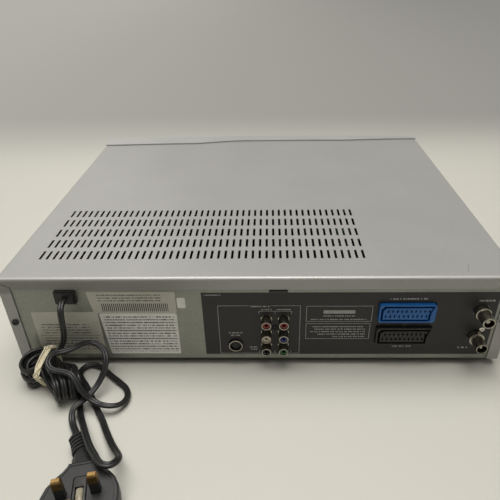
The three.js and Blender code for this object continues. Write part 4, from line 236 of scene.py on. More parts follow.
# Finishes by material slot: the name of the real finish, its two colours, the sizes of its blotches and
# its grain in millimetres, its least and most roughness, its relief, and what else blotched takes.
FINISHES = {
    # Sprayed silver enamel on sheet steel: flake too fine to show, drawn as a faint 0.6 mm mottle.
    "cover_paint": (
        "sprayed_enamel_on_steel", "#A2A19E", "#9D9C99", 70, 0.6, (0.36, 0.44), 0.006, {"metallic": 0.25}),
    # Zinc-plated sheet steel: a grey-green bloom in patches over a soft mottle 2 mm across.
    "zinc": ("zinc_plated_steel", "#93958D", "#8A8C84", 40, 2.2, (0.36, 0.48), 0.008, {"metallic": 0.6}),
    # Sprayed silver on ABS: smoother than the cover, a little brighter.
    "front_paint": (
        "sprayed_silver_on_abs", "#B4B4B2", "#ABABA9", 60, 0.5, (0.3, 0.42), 0.006, {"metallic": 0.35}),
    # Buttons sprayed a brighter silver and polished by fingers.
    "button_paint": (
        "polished_silver_on_abs", "#BCBCBA", "#B6B6B4", 20, 0.5, (0.26, 0.3), 0.0008, {"metallic": 0.45}),
    # Smoked acrylic window: deep and glossy.
    "window": ("smoked_acrylic", "#08080A", "#0D0D10", 80, 2.0, (0.05, 0.1), 0.001, {}),
    # Moulded PBT and ABS with a spark-eroded grain, which keeps their shine broken.
    "black_plastic": ("moulded_black_pbt", "#0E0E0F", "#161617", 12, 0.5, (0.42, 0.58), 0.02, {}),
    "grey_plastic": ("moulded_grey_abs", "#343436", "#3E3E40", 14, 0.5, (0.42, 0.58), 0.02, {}),
    "white_plastic": ("moulded_white_abs", "#CFCDC6", "#C2C0B8", 14, 0.6, (0.4, 0.52), 0.015, {}),
    "blue_plastic": ("moulded_blue_pbt", "#0A60A8", "#085494", 10, 0.5, (0.34, 0.46), 0.015, {}),
    "red_plastic": ("moulded_red_abs", "#8E2A2C", "#7C2426", 5, 0.5, (0.32, 0.44), 0.012, {}),
    "cream_plastic": ("moulded_cream_abs", "#D6CFB8", "#C6BFA8", 5, 0.5, (0.34, 0.46), 0.012, {}),
    "green_plastic": ("moulded_green_abs", "#34683F", "#2C5936", 5, 0.5, (0.32, 0.44), 0.012, {}),
    "violet_plastic": ("moulded_violet_abs", "#3E3F86", "#353673", 5, 0.5, (0.32, 0.44), 0.012, {}),
    # Moulded nitrile rubber feet and rollers: dull, with a veil of dust.
    "rubber": ("moulded_nitrile_rubber", "#1E1E1D", "#2C2B29", 6, 0.4, (0.7, 0.86), 0.03, {"sheen": 0.1}),
    # Blackened steel screws: an oiled oxide, dark and a little cloudy.
    "dark_screw": ("blackened_steel", "#2B2A29", "#4A4845", 2, 0.3, (0.34, 0.52), 0.01, {"metallic": 0.9}),
    # Nickel plating on turned brass, yellowed a little.
    "nickel": ("nickel_plated_brass", "#ABA69B", "#8E897C", 4, 0.4, (0.16, 0.32), 0.006, {"metallic": 1.0}),
    # Nickel plating on a steel screw: brighter and whiter than on the brass.
    "bright_nickel": (
        "nickel_plated_steel", "#D6D3CB", "#BDB9AE", 4, 0.4, (0.14, 0.26), 0.004, {"metallic": 1.0}),
    # Cold-rolled steel inside the case: bright, with faint streaks along its rolling.
    "steel": (
        "cold_rolled_steel", "#B3B5B4", "#9EA09F", 22, 0.9, (0.3, 0.46), 0.01,
        {"metallic": 0.9, "stretch": (1, 12, 12)}),
    # Diamond-turned aluminium: fine rings, drawn as a grain packed along the axis.
    "aluminium": (
        "turned_aluminium", "#C8C9CB", "#B6B7B9", 18, 0.35, (0.14, 0.26), 0.004,
        {"metallic": 1.0, "stretch": (1, 1, 20)}),
    # Stamped brass: dull yellow with the cloudy marks of handling.
    "brass": ("stamped_brass", "#9C7F50", "#785F3B", 3, 0.35, (0.26, 0.44), 0.008, {"metallic": 1.0}),
    # Paper-phenolic and glass-epoxy boards under lacquer: a soft shine and faint cloudy patches.
    "circuit_board": ("phenolic_board", "#8B6F42", "#7A5F36", 16, 0.7, (0.36, 0.5), 0.01, {}),
    "green_board": ("glass_epoxy_board", "#2F6A44", "#28593A", 16, 0.7, (0.34, 0.48), 0.01, {}),
    # Extruded PVC sheath: soft black with a waxy shine.
    "cord_sheath": ("extruded_black_pvc", "#0E0E0F", "#151516", 9, 0.9, (0.34, 0.46), 0.008, {"coat": 0.04}),
    # Plug moulded in black PVC: duller than the lead, rubbed a little grey.
    "plug_shell": ("moulded_black_pvc", "#151516", "#202021", 10, 0.6, (0.4, 0.54), 0.012, {}),
    # Glazed ceramic body of a plug's fuse, a little grubby.
    "ceramic": ("glazed_ceramic", "#ABA28C", "#827963", 2.4, 0.3, (0.2, 0.34), 0.004, {}),
    # Natural rubber band: cream and dusty, with a soft glow at its edges.
    "rubber_band": ("natural_rubber", "#F0E7CC", "#E0D4B0", 3, 0.3, (0.55, 0.72), 0.02, {"sheen": 0.15}),
    # Matt label paper: near white, with faint clouds from handling.
    "label_paper": ("matt_label_paper", "#ECEAE5", "#E1DFD9", 26, 0.35, (0.5, 0.64), 0.005, {}),
    # Clear laminate over paper: greyer and glossier.
    "laminate": ("laminated_label_paper", "#C8C6B9", "#BBB9AC", 20, 0.5, (0.24, 0.36), 0.004, {"coat": 0.2}),
    # Pad-printed grey ink by the front's buttons: flat and even.
    "grey_ink": ("pad_printed_grey_ink", "#3C3C3E", "#464648", 3, 0.25, (0.45, 0.6), 0.003, {}),
    # Screen-printed white ink, a little thin.
    "white_ink": ("screen_printed_white_ink", "#A9A8A4", "#8B8A86", 3, 0.25, (0.5, 0.64), 0.004, {}),
}
finishes = {}


def fresh(name, slot):
    """A slot's finish under a name of its own, for marks: its material, tree, shader and coordinates."""
    *looks, more = FINISHES[slot][1:]
    return blotched(name, *looks, **more)


def finish(slot):
    """The material of a slot's finish, made once."""
    if slot not in finishes:
        finishes[slot] = fresh(FINISHES[slot][0], slot)[0]
    return finishes[slot]


def patchy(tree, place, size, low, high):
    """Irregular spots of about size millimetres: 0 below the low threshold and 1 above the high one."""
    noise = add(tree, "ShaderNodeTexNoise", {
        "Vector": place, "Scale": 1 / (size * MM), "Detail": 6.0, "Roughness": 0.7})
    return add(tree, "ShaderNodeMapRange", {
        "Value": noise.outputs[0], "From Min": low, "From Max": high}).outputs[0]


# Places on the cover's corners and rear edge, as boxes in millimetres: from, to.
NICKED = (
    ((-214, 150, 78), (-176, 172, 97)),
    ((-214, 60, 92), (-150, 171, 98)),
    ((184, 150, 82), (216, 172, 98)),
    ((-152, 163.5, 94), (-96, 168.5, 98)),
)
SCUFFED_CORNER = (-216, 166, 84), (-204, 172, 98)
# The rear-facing lip, under painted shade that deepens towards +X.
SHADED_REAR_LIP = (-217, 165.5, 80), (217, 175, 95.2)
# A painted highlight along the rear fold.
FOLD_HIGHLIGHT = (-214.5, 167.6, 94.8), (214.5, 170.6, 97)
# Fine marks on the cover's top: from, to, width in millimetres, share and colour.
SCRATCHES = (
    ((-196, 65), (-150, 157), 0.6, 0.3, "#83827D"),
    ((-101, 110), (-114.5, 111.3), 0.7, 0.45, "#75746F"),
    ((-178, 149), (-174, 163), 0.6, 0.75, "#4A4844"),
    ((-124, 144), (-194, 133), 0.5, 0.25, "#83827D"),
    ((-139.7, 53.5), (-141.6, 67.2), 0.5, 0.3, "#83827D"),
    ((203.9, 37.6), (194.3, 44.7), 0.6, 0.4, "#83827D"),
    ((79.5, -43.3), (74, -37.1), 0.5, 0.3, "#8A8984"),
    ((-62.7, -92.1), (-101.4, -98.2), 0.5, 0.16, "#C4C3BE"),
)
# The rear panel's black field and the dust along its foot, as boxes in millimetres.
SHEET = PANEL_Y / MM
PRINTED_FIELD = (-202.5, SHEET - 0.6, 12.5), (46.2, SHEET + 0.6, 81.2)
DUSTY_FOOT = (-214, 167, 7), (214, 170, 20)
# How far the plug's pins are sleeved, up from their roots, in millimetres.
SLEEVED = 13.6


def scratch(tree, place, one, two, wide):
    """The two shares of a straight fine mark across the top: they fade to 0 at its ends and its sides."""
    start = Vector((*one, 0)) * MM
    run = Vector((*two, 0)) * MM - start
    ahead = run.normalized()
    aside = Vector((-ahead.y, ahead.x, 0))
    offset = add(tree, "ShaderNodeVectorMath", {0: place, 1: start + run / 2}, operation="SUBTRACT")
    shares = []
    for way, whole, solid in ((ahead, run.length, 0.3), (aside, wide * MM, 0.1)):
        along = add(tree, "ShaderNodeVectorMath", {0: offset.outputs[0], 1: way}, operation="DOT_PRODUCT")
        away = add(tree, "ShaderNodeMath", {0: along.outputs["Value"]}, operation="ABSOLUTE")
        shares.append(add(tree, "ShaderNodeMapRange", {
            "Value": away.outputs[0], "From Min": solid * whole, "From Max": 0.5 * whole,
            "To Min": 1.0, "To Max": 0.0}).outputs[0])
    return shares


def scuffed_cover():
    """Silver enamel with nicks and rubs at its corners and rear edge, fine scratches and specks, painted
    shade on its rear lip and a painted highlight along its rear fold.
    """
    material, tree, shader, place = fresh("silver_enamel_cover", "cover_paint")
    colour = shader.inputs["Base Color"]
    nicks = patchy(tree, place, 2.2, 0.62, 0.68)
    for box in NICKED:
        over(tree, colour, (nicks, within(tree, place, *box, 6)), "#4A4844")
    scuffs = patchy(tree, place, 3.4, 0.5, 0.56)
    over(tree, colour, (scuffs, within(tree, place, *SCUFFED_CORNER, 3)), "#4F4C47")
    # Painted shade on the rear lip grows from the middle of the case to the photograph's left.
    split = add(tree, "ShaderNodeSeparateXYZ", {0: place})
    across = add(tree, "ShaderNodeMapRange", {
        "Value": split.outputs[0], "From Min": 0.01, "From Max": 0.14}).outputs[0]
    over(tree, colour, (within(tree, place, *SHADED_REAR_LIP, 3), across, 0.5), "#5B5852")
    # A painted highlight along the rear fold, lighter than the enamel.
    over(tree, colour, (within(tree, place, *FOLD_HIGHLIGHT, 0.8), 0.55), "#DEDDD8")
    for one, two, wide, share, mark in SCRATCHES:
        over(tree, colour, (*scratch(tree, place, one, two, wide), share), mark)
    specks = patchy(tree, place, 1.1, 0.745, 0.775)
    over(tree, colour, (specks, 0.7), "#6A6862")
    rubs = patchy(tree, place, 16, 0.52, 0.74)
    over(tree, colour, (rubs, 0.06), "#BAB8B2")
    over(tree, shader.inputs["Roughness"], (rubs, 0.15), 0.3)
    return material


def covered(tree, shader, shares, colour, roughness):
    """Lays an opaque coat of another stuff over a metal, where the shares give 1."""
    over(tree, shader.inputs["Base Color"], shares, colour)
    over(tree, shader.inputs["Metallic"], shares, 0.0)
    over(tree, shader.inputs["Roughness"], shares, roughness)


def printed_panel():
    """Zinc-plated sheet with a field of black enamel screened over most of it, and dust along its foot."""
    material, tree, shader, place = fresh("zinc_sheet_printed", "zinc")
    covered(tree, shader, [within(tree, place, *PRINTED_FIELD, 0.1)], "#151314", 0.48)
    dust = patchy(tree, place, 9, 0.5, 0.8)
    over(tree, shader.inputs["Base Color"], (dust, within(tree, place, *DUSTY_FOOT, 6), 0.35), "#8D877A")
    return material


def sleeved_pin():
    """Brass pin with a black sleeve over its root, as moulded on."""
    material, tree, shader, place = fresh("brass_pin_sleeved", "brass")
    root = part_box("line_pin")[0].z / MM
    sleeve = within(tree, place, (None, None, root), (None, None, root + SLEEVED), 0.1)
    covered(tree, shader, [sleeve], "#1D1D1E", 0.5)
    return material


def rubbed_plug():
    """Black PVC with grey scuffs."""
    material, tree, shader, place = fresh("moulded_plug_shell", "plug_shell")
    over(tree, shader.inputs["Base Color"], (patchy(tree, place, 3.5, 0.58, 0.72), 0.35), "#3A3937")
    return material


def dusty_fuse_cover():
    """The plug's fuse cover: the same black PVC, greyed by patches of dust."""
    material, tree, shader, place = fresh("moulded_fuse_cover", "plug_shell")
    over(tree, shader.inputs["Base Color"], (patchy(tree, place, 5, 0.4, 0.62), 0.6), "#4B4945")
    return material


# CAD nodes whose finish carries marks of its own.
MARKED = {
    "top_cover": scuffed_cover,
    "rear_panel": printed_panel,
    "line_pin": sleeved_pin,
    "plug_body": rubbed_plug,
}


# Mesh helpers.


def alone(*pieces):
    """Selects only these pieces, the first of them active; with none, nothing stays selected."""
    if bpy.context.object and bpy.context.object.mode != "OBJECT":
        bpy.ops.object.mode_set(mode="OBJECT")
    bpy.ops.object.select_all(action="DESELECT")
    for piece in pieces:
        piece.select_set(True)
    if pieces:
        bpy.context.view_layer.objects.active = pieces[0]


def outward():
    """Turns every face of the piece that is being edited outwards, and ends the editing."""
    bpy.ops.mesh.select_all(action="SELECT")
    bpy.ops.mesh.normals_make_consistent(inside=False)
    bpy.ops.object.mode_set(mode="OBJECT")


def soft_edges(piece, offset, segments=2):
    """Rounds every sharp edge of the piece that is being edited, by an offset in millimetres."""
    outward()
    soften = piece.modifiers.new("edges", "BEVEL")
    soften.width, soften.segments, soften.limit_method = offset * MM, segments, "ANGLE"
    bpy.ops.object.modifier_apply(modifier="edges")
    bpy.ops.object.shade_smooth_by_angle(angle=math.radians(40))


def block(size, centre, turn=(0, 0, 0)):
    """A box with a size in millimetres, turned about its centre."""
    alone()
    bpy.ops.mesh.primitive_cube_add(size=1, location=centre, rotation=turn)
    piece = bpy.context.object
    piece.scale = [edge * MM for edge in size]
    bpy.ops.object.transform_apply(location=True, rotation=True, scale=True)
    return piece


def carved(piece, tool, operation="DIFFERENCE"):
    """Cuts a tool out of a piece, or joins the two, and takes the tool away."""
    alone(piece)
    cut = piece.modifiers.new("cut", "BOOLEAN")
    cut.operation, cut.object, cut.solver = operation, tool, "EXACT"
    bpy.context.view_layer.update()
    bpy.ops.object.modifier_apply(modifier="cut")
    bpy.data.objects.remove(tool)


def kept(piece, name, material):
    """Names a piece, puts its place in its mesh, gives it its finish and makes it ride on the case."""
    piece.name = name
    piece.data.name = name
    piece.data.transform(piece.matrix_world)
    piece.matrix_world = Matrix.Identity(4)
    piece.data.materials.clear()
    piece.data.materials.append(material)
    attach(piece, "case")
    return piece


def meshed(name, points, faces):
    """A new object of points and faces, turned outwards and left selected."""
    mesh = bpy.data.meshes.new(name)
    mesh.from_pydata([tuple(p) for p in points], [], [tuple(f) for f in faces])
    mesh.update()
    piece = bpy.data.objects.new(name, mesh)
    bpy.context.collection.objects.link(piece)
    alone(piece)
    bpy.ops.object.mode_set(mode="EDIT")
    outward()
    return piece


def tube(name, rings, loop=False):
    """A closed skin over rings of points: capped at both ends, or joined up as a loop."""
    rings = [np.asarray(ring, float) for ring in rings]
    count, many = len(rings[0]), len(rings)
    points = np.concatenate(rings)
    faces = []
    for k in range(many if loop else many - 1):
        here, there = k * count, ((k + 1) % many) * count
        for i in range(count):
            j = (i + 1) % count
            faces.append((here + i, here + j, there + j, there + i))
    if not loop:
        faces.append(tuple(reversed(range(count))))
        faces.append(tuple(range((many - 1) * count, many * count)))
    piece = meshed(name, points, faces)
    bpy.ops.object.shade_smooth_by_angle(angle=math.radians(50))
    return piece


# The lead's route in millimetres: across, beyond the rear face, and up.
DROP = (
    (160, 3.5, 78), (160, 8.7, 78), (159.3, 15, 75.5), (158.7, 18.3, 69), (159.3, 18.8, 61),
    (160.8, 18, 52.5), (163, 17.8, 45), (166.6, 17.8, 38), (171.3, 16.8, 32),
)
TAIL = (
    (148.7, 42.4, 3), (146.5, 50.2, 3.2), (142.9, 59.4, 5), (137, 70.5, 9.5), (129.7, 83.5, 15.5),
    (122.9, 95.3, 20), (116.5, 105.4, 23), (110.6, 112.9, 25), (107, 117.8, 26.2), (102.8, 120.9, 26.7),
    (98, 121, 26.3), (95, 117.2, 24.4), (95, 111.6, 21), (97.9, 105.4, 16.4), (102.5, 98.5, 11.8),
    (108, 90.5, 8), (117.5, 75.4, 4.6), (123.4, 65.1, 3), (129.8, 55.8, 3), (135.3, 47.3, 3),
    (139.8, 41, 3), (143.8, 34.5, 3), (148.6, 28, 3), (154, 21.5, 3), (158.2, 15.2, 3),
    (158.6, 9, 3), (155, 4.2, 3), (149, 3, 3), (142.5, 5.6, 3), (135.5, 11.3, 3),
    (128, 17.8, 3), (120.7, 23.7, 3), (112.6, 31.6, 3), (109.3, 40.3, 3.5), (110.7, 48.4, 5),
    (115.6, 53.8, 7.5), (122.2, 55.1, 9), (129.9, 53, 9.5), (136.3, 50.7, 12), (140.7, 49.2, 17),
    (144.4, 47, 22.5), (147.8, 43.8, 27), (151.5, 41.2, 29.8), (157.2, 39, 30.6), (163.5, 38, 31),
    (169, 36.4, 31.7), (172.6, 33, 33.2), (173.2, 28.6, 35.3), (170.3, 25.2, 37.2), (165.5, 24.3, 38.2),
    (160.2, 22.3, 38.2), (155.3, 18, 37.6), (150.8, 11.6, 36), (145.7, 7.1, 34), (140, 7.1, 32),
    (134.2, 10.7, 30), (129.8, 18.1, 26.5), (129.9, 24.4, 21), (132.3, 30.1, 15), (136, 36.5, 10.5),
    (139.5, 44, 9.3), (142.4, 49.9, 9.6), (145.7, 54.4, 9.6), (148.2, 58.7, 8.3), (148.4, 63.2, 5.8),
    (146.4, 68.2, 4.4), (142.6, 74.5, 4.8), (138.4, 80.7, 6.8),
)
# Where two stretches of the lead meet: the gap between their points, and the straight run before it.
JOINT, STRAIGHT = 0.3, 5.2
# The hank, in millimetres, degrees and turns. Its middle line bends from head_right to head_left as it
# runs from the right to the left of its place, at. A layer holds so many turns, each a ring's breadth
# outside the one before, and climbs to the next layer in a part of a turn. The waist is half its breadth
# in the middle, and grow_left and grow_right widen its two ends, which the twists stand up or lay flat.
# Its middle is lifted off the floor within its reach, and its left end is shifted sideways. wide and thin
# are half the lead's own measures, start is where the first turn begins, steps is the number of points
# in a turn, and the hank ends at a whole one of the turn's parts.
HANK = {
    "at": (180.5, 18.5), "right": 30.0, "left": 11.0, "head_right": -60.0, "head_left": -14.0,
    "fold": 7.0, "ring": 4.3, "layer": 5.7, "layers": 4, "turns": 1.125, "climb": 0.4,
    "waist": 3.4, "grow_left": 1.2, "grow_right": 0.98, "twist_left": 4.0, "twist_right": 84.0,
    "floor": 0.3, "lift": 2.8, "reach": 14.0, "shift": 2.0,
    "wide": 2.6, "thin": 1.6, "start": 5.0, "steps": 96, "parts": 24,
}
# The plug's place and turn, and where its lead comes out of it, seen with its lead towards -Y.
PLUG = {"x": 114.5, "beyond": 137.7, "yaw": 12.5, "tip": (9.7, -57, 7.4), "root": (6.1, -48.6, 8.2)}
# How the lead's width turns: the part of the drop that it starts after, and its share of each step there
# and in the tail.
TURN_AFTER, DROP_TURN, TAIL_TURN = 0.45, 0.5, 0.12
# The band, in millimetres and degrees: its place along the hank's middle line, how far it leans, the
# three wraps beside each other, how far they sway, the stretch of the lead that they lie on and how
# clear they stand of it and of the floor; then its points and twists in a wrap, and points in a ring.
BAND = {
    "along": 2.0, "lean": 14.0, "wraps": (-2.1, 0, 2.1), "sway": 0.5, "over": 4.2, "clear": 0.25,
    "off_floor": 0.05, "steps": 120, "twists": 5, "sides": 10,
}


def ease(x):
    """A share from 0 to 1 that starts and ends softly."""
    x = min(max(x, 0.0), 1.0)
    return x * x * (3 - 2 * x)


def blend(one, two, share):
    """A value between two others."""
    return one + (two - one) * share


def unit(v):
    """A vector's direction."""
    return v / np.linalg.norm(v)


def units(vectors):
    """The directions of a list of vectors."""
    return vectors / np.linalg.norm(vectors, axis=1)[:, None]


def row(point):
    """A route's point in the CAD's frame, in millimetres."""
    x, beyond, z = point
    return np.array([x, REAR_Y / MM + beyond, z])


def hank_spine(along):
    """The hank's bent middle line on the floor: a place and a direction."""
    h = HANK
    start = math.radians(h["head_right"])
    bend = (math.radians(h["head_left"]) - start) / (h["right"] + h["left"])
    start += bend * h["right"]
    inside = min(max(along, -h["right"]), h["left"])
    heading = start + bend * inside
    ahead = np.array([math.cos(heading), math.sin(heading)])
    at = np.array([
        h["at"][0] + (math.sin(heading) - math.sin(start)) / bend,
        h["at"][1] - (math.cos(heading) - math.cos(start)) / bend,
    ])
    return at + (along - inside) * ahead, ahead


def hank_place(along, across, stack):
    """A place in the hank: along its middle line, across in the plane of a turn, and up its layers."""
    h = HANK
    at, ahead = hank_spine(along)
    share = ease((along + h["right"]) / (h["right"] + h["left"]))
    twist = math.radians(blend(h["twist_right"], h["twist_left"], share))
    outer = h["fold"] + h["turns"] * h["ring"]
    end, reach = (outer * h["grow_left"], h["left"]) if along > 0 else (outer * h["grow_right"], h["right"])
    half_across = blend(h["waist"] + h["turns"] * h["ring"], end, ease(abs(along) / reach)) + h["thin"]
    half_stack = (h["layers"] - 1) / 2 * h["layer"] + h["wide"]
    rise = (
        h["floor"] + h["lift"] * (1 - ease(abs(along) / h["reach"]))
        + half_across * math.sin(twist) + half_stack * math.cos(twist)
    )
    aside = stack * math.sin(twist) - across * math.cos(twist) + h["shift"] * ease(along / h["left"])
    return np.array([
        at[0] - ahead[1] * aside,
        REAR_Y / MM + at[1] + ahead[0] * aside,
        rise + across * math.sin(twist) + stack * math.cos(twist),
    ])


def hank_at(turn):
    """Where the lead lies at a turn of the hank, and the direction of its width there."""
    h = HANK
    run, fold = h["right"] + h["left"], math.pi * (h["fold"] + h["ring"])
    whole = 2 * (run + fold)
    out_and_in = abs(1 - (turn / h["turns"]) % 2)
    ring = (1 if turn > h["layers"] * h["turns"] else out_and_in) * h["turns"] * h["ring"]
    level = sum(ease((turn - k * h["turns"]) / h["climb"] + 0.5) for k in range(1, h["layers"]))
    left, right = (h["fold"] + ring) * h["grow_left"], (h["fold"] + ring) * h["grow_right"]

    def width(along):
        if along > 0:
            return blend(h["waist"] + ring, left, ease(along / h["left"]))
        return blend(h["waist"] + ring, right, ease(-along / h["right"]))

    gone, first = turn % 1 * whole, h["left"] - h["start"]
    if gone < first:
        along = h["start"] + gone
        across = width(along)
    elif gone < first + fold:
        angle = math.pi * (gone - first) / fold
        along, across = h["left"] + left * math.sin(angle), left * math.cos(angle)
    elif gone < first + fold + run:
        along = h["left"] - (gone - first - fold)
        across = -width(along)
    elif gone < first + 2 * fold + run:
        angle = math.pi * (gone - first - fold - run) / fold
        along, across = -h["right"] - right * math.sin(angle), -right * math.cos(angle)
    else:
        along = gone - first - 2 * fold - run - h["right"]
        across = width(along)
    stack = ((h["layers"] - 1) / 2 - level) * h["layer"]
    place = hank_place(along, across, stack)
    return place, unit(hank_place(along, across, stack + 1) - place)


def hank_line():
    """The hank's points and the direction of the lead's width at each."""
    h = HANK
    run, fold = h["right"] + h["left"], math.pi * (h["fold"] + h["ring"])
    last = h["layers"] + (h["left"] - h["start"] + fold + run) / (2 * (run + fold))
    many = int(last * h["parts"]) / h["parts"]
    turns = np.linspace(0, many, int(round(many * h["steps"])) + 1)
    places, widths = zip(*(hank_at(turn) for turn in turns))
    return np.array(places), np.array(widths)


def curved(points, step, per_span=16):
    """Points an even step apart on the centripetal curve through points, drawn per_span to a span."""
    points = np.asarray(points, float)
    ends = np.vstack([2 * points[0] - points[1], points, 2 * points[-1] - points[-2]])
    out = []
    for i in range(1, len(ends) - 2):
        p = ends[i - 1:i + 3]
        gaps = [max(np.linalg.norm(p[k + 1] - p[k]), 1e-6) ** 0.5 for k in range(3)]
        t = np.cumsum([0, *gaps])
        for at in np.linspace(t[1], t[2], per_span, endpoint=False):
            a = [((t[k + 1] - at) * p[k] + (at - t[k]) * p[k + 1]) / (t[k + 1] - t[k]) for k in range(3)]
            b = [((t[k + 2] - at) * a[k] + (at - t[k]) * a[k + 1]) / (t[k + 2] - t[k]) for k in range(2)]
            out.append(((t[2] - at) * b[0] + (at - t[1]) * b[1]) / (t[2] - t[1]))
    out = np.array([*out, points[-1]])
    far = np.r_[0, np.cumsum(np.linalg.norm(np.diff(out, axis=0), axis=1))]
    want = np.linspace(0, far[-1], max(int(far[-1] / step), 2) + 1)
    return np.stack([np.interp(want, far, out[:, k]) for k in range(3)], -1)


def plug_point(point):
    """A point of the plug, drawn with its pins across and its lead towards -Y, in the CAD's frame."""
    yaw = math.radians(PLUG["yaw"])
    x, y, z = point
    return np.array([
        PLUG["x"] + x * math.cos(yaw) - y * math.sin(yaw),
        REAR_Y / MM + PLUG["beyond"] + x * math.sin(yaw) + y * math.cos(yaw),
        z,
    ])


def lead_line(step):
    """The whole lead in one line: its points, and the direction of its width at each."""
    hank, hank_wide = hank_line()
    start, end = unit(hank[1] - hank[0]), unit(hank[-1] - hank[-2])
    into = [hank[0] - start * (JOINT + STRAIGHT), hank[0] - start * JOINT]
    drop = curved([*map(row, DROP), *into], step)
    tip, root = plug_point(PLUG["tip"]), plug_point(PLUG["root"])
    back = unit(tip - root)
    out = [hank[-1] + end * JOINT, hank[-1] + end * (JOINT + STRAIGHT)]
    tail = curved([*out, *map(row, TAIL), tip + back * (JOINT + STRAIGHT), tip + back * JOINT], step)
    points = np.vstack([drop, hank, tail])
    ahead = units(np.gradient(points, axis=0))
    flat = np.cross(ahead, (0, 0, 1))
    first, after = len(drop), len(drop) + len(hank)
    wide = np.zeros_like(points)
    wide[first:after] = hank_wide
    wide[0] = (1, 0, 0)

    def turned(k, target, share):
        """The width at a point, turned by a share from the one before towards a target or its reverse."""
        target = target * (1 if target @ wide[k - 1] > 0 else -1)
        width = blend(wide[k - 1], target, share)
        return unit(width - ahead[k] * (width @ ahead[k]))

    for k in range(1, first):
        share = ease((k - TURN_AFTER * first) / ((1 - TURN_AFTER) * first))
        wide[k] = turned(k, hank_wide[0], DROP_TURN * share)
    for k in range(after, len(points)):
        wide[k] = turned(k, unit(flat[k]), TAIL_TURN)
    side = units(np.cross(wide, ahead))
    return points, np.cross(ahead, side), side


def lead_section(half_wide, half_thin, groove):
    """The flat lead's outline, as steps along its width and thickness: two round cores and a groove."""
    core = half_wide - half_thin
    # Each core's round runs a little past its top and bottom, down into the groove.
    lean = math.asin(min(core / half_thin, 0.9))
    end = math.pi / 2 + lean * 0.35
    angles = np.linspace(-end, end, 11)
    half = [*((core + half_thin * math.cos(a), half_thin * math.sin(a)) for a in angles), (0.0, groove)]
    return [*half, *((-x, -y) for x, y in half)]


def lead_rings(sizes):
    """The lead's points, and the ring of its skin round each, in millimetres."""
    points, wide, side = lead_line(sizes.step / MM)
    outline = lead_section(sizes.half_wide / MM, sizes.half_thin / MM, sizes.groove / MM)
    return points, [[p + w * x + s * y for x, y in outline] for p, w, s in zip(points, wide, side)]


# The camera that the photograph was taken with: degrees, millimetres and shares of the sensor's width.
CAMERA = {
    "azimuth": 181.49, "rise": 31.40, "roll": -1.05, "at": (-12.39, 496.06, 321.87),
    "shift": (-0.0198, 0.0008), "sensor": 36, "nearest": 10,
}


class PLAYER_OT_camera(bpy.types.Operator):
    """Camera at the photograph's place behind the player."""

    bl_idname = "player.camera"
    bl_label = "Camera"

    def execute(self, context):
        azimuth, rise, roll = (math.radians(CAMERA[angle]) for angle in ("azimuth", "rise", "roll"))
        level = math.cos(rise)
        back = Vector((math.sin(azimuth) * level, -math.cos(azimuth) * level, math.sin(rise)))
        right = (-back).cross(Vector((0, 0, 1))).normalized()
        up = right.cross(-back)
        turned = (
            right * math.cos(roll) + up * math.sin(roll),
            up * math.cos(roll) - right * math.sin(roll),
            back,
        )
        data = bpy.data.cameras.new("camera")
        data.sensor_width = CAMERA["sensor"]
        data.lens = context.scene.player_stage.lens
        data.shift_x, data.shift_y = CAMERA["shift"]
        data.clip_start = CAMERA["nearest"] * MM
        camera = bpy.data.objects.new("camera", data)
        place = Matrix(turned).transposed().to_4x4()
        place.translation = Vector(CAMERA["at"]) * MM
        camera.matrix_world = place
        context.collection.objects.link(camera)
        context.scene.camera = camera
        return {"FINISHED"}


def band_path(skin, strand):
    """The band's wraps round the lead's skin, and the direction of the hank's middle line there.

    Each wrap has its points, on the tightest line that clears the skin, and the direction outwards at each.
    """
    b = BAND
    at, ahead = hank_spine(b["along"])
    lean = math.radians(b["lean"])
    ahead = np.array([
        ahead[0] * math.cos(lean) - ahead[1] * math.sin(lean),
        ahead[0] * math.sin(lean) + ahead[1] * math.cos(lean),
    ])
    origin = np.array([at[0], REAR_Y / MM + at[1], 0])
    forward, aside = np.array([*ahead, 0]), np.array([-ahead[1], ahead[0], 0])
    away = skin - origin
    near = away[np.abs(away @ forward) < b["over"]]
    flat = np.stack([near @ aside, near[:, 2]], -1)
    turn = 2 * math.pi / b["steps"]
    reach = [
        max(flat @ (math.cos(k * turn), math.sin(k * turn))) + b["clear"] + 2 * strand
        for k in range(b["steps"] + 1)
    ]
    wraps = []
    for wrap, shift in enumerate(b["wraps"]):
        line = []
        for k in range(b["steps"]):
            one, two = reach[k], reach[k + 1]
            first, second = k * turn, (k + 1) * turn
            across = (one * math.sin(second) - two * math.sin(first)) / math.sin(turn)
            up = (two * math.cos(first) - one * math.cos(second)) / math.sin(turn)
            sway = shift + b["sway"] * math.sin(3 * first + wrap)
            line.append(origin + aside * across + np.array([0, 0, up]) + forward * sway)
        line = np.array(line)
        along = units(np.roll(line, -1, 0) - np.roll(line, 1, 0))
        wraps.append((line, units(np.cross(along, forward))))
    return wraps, forward


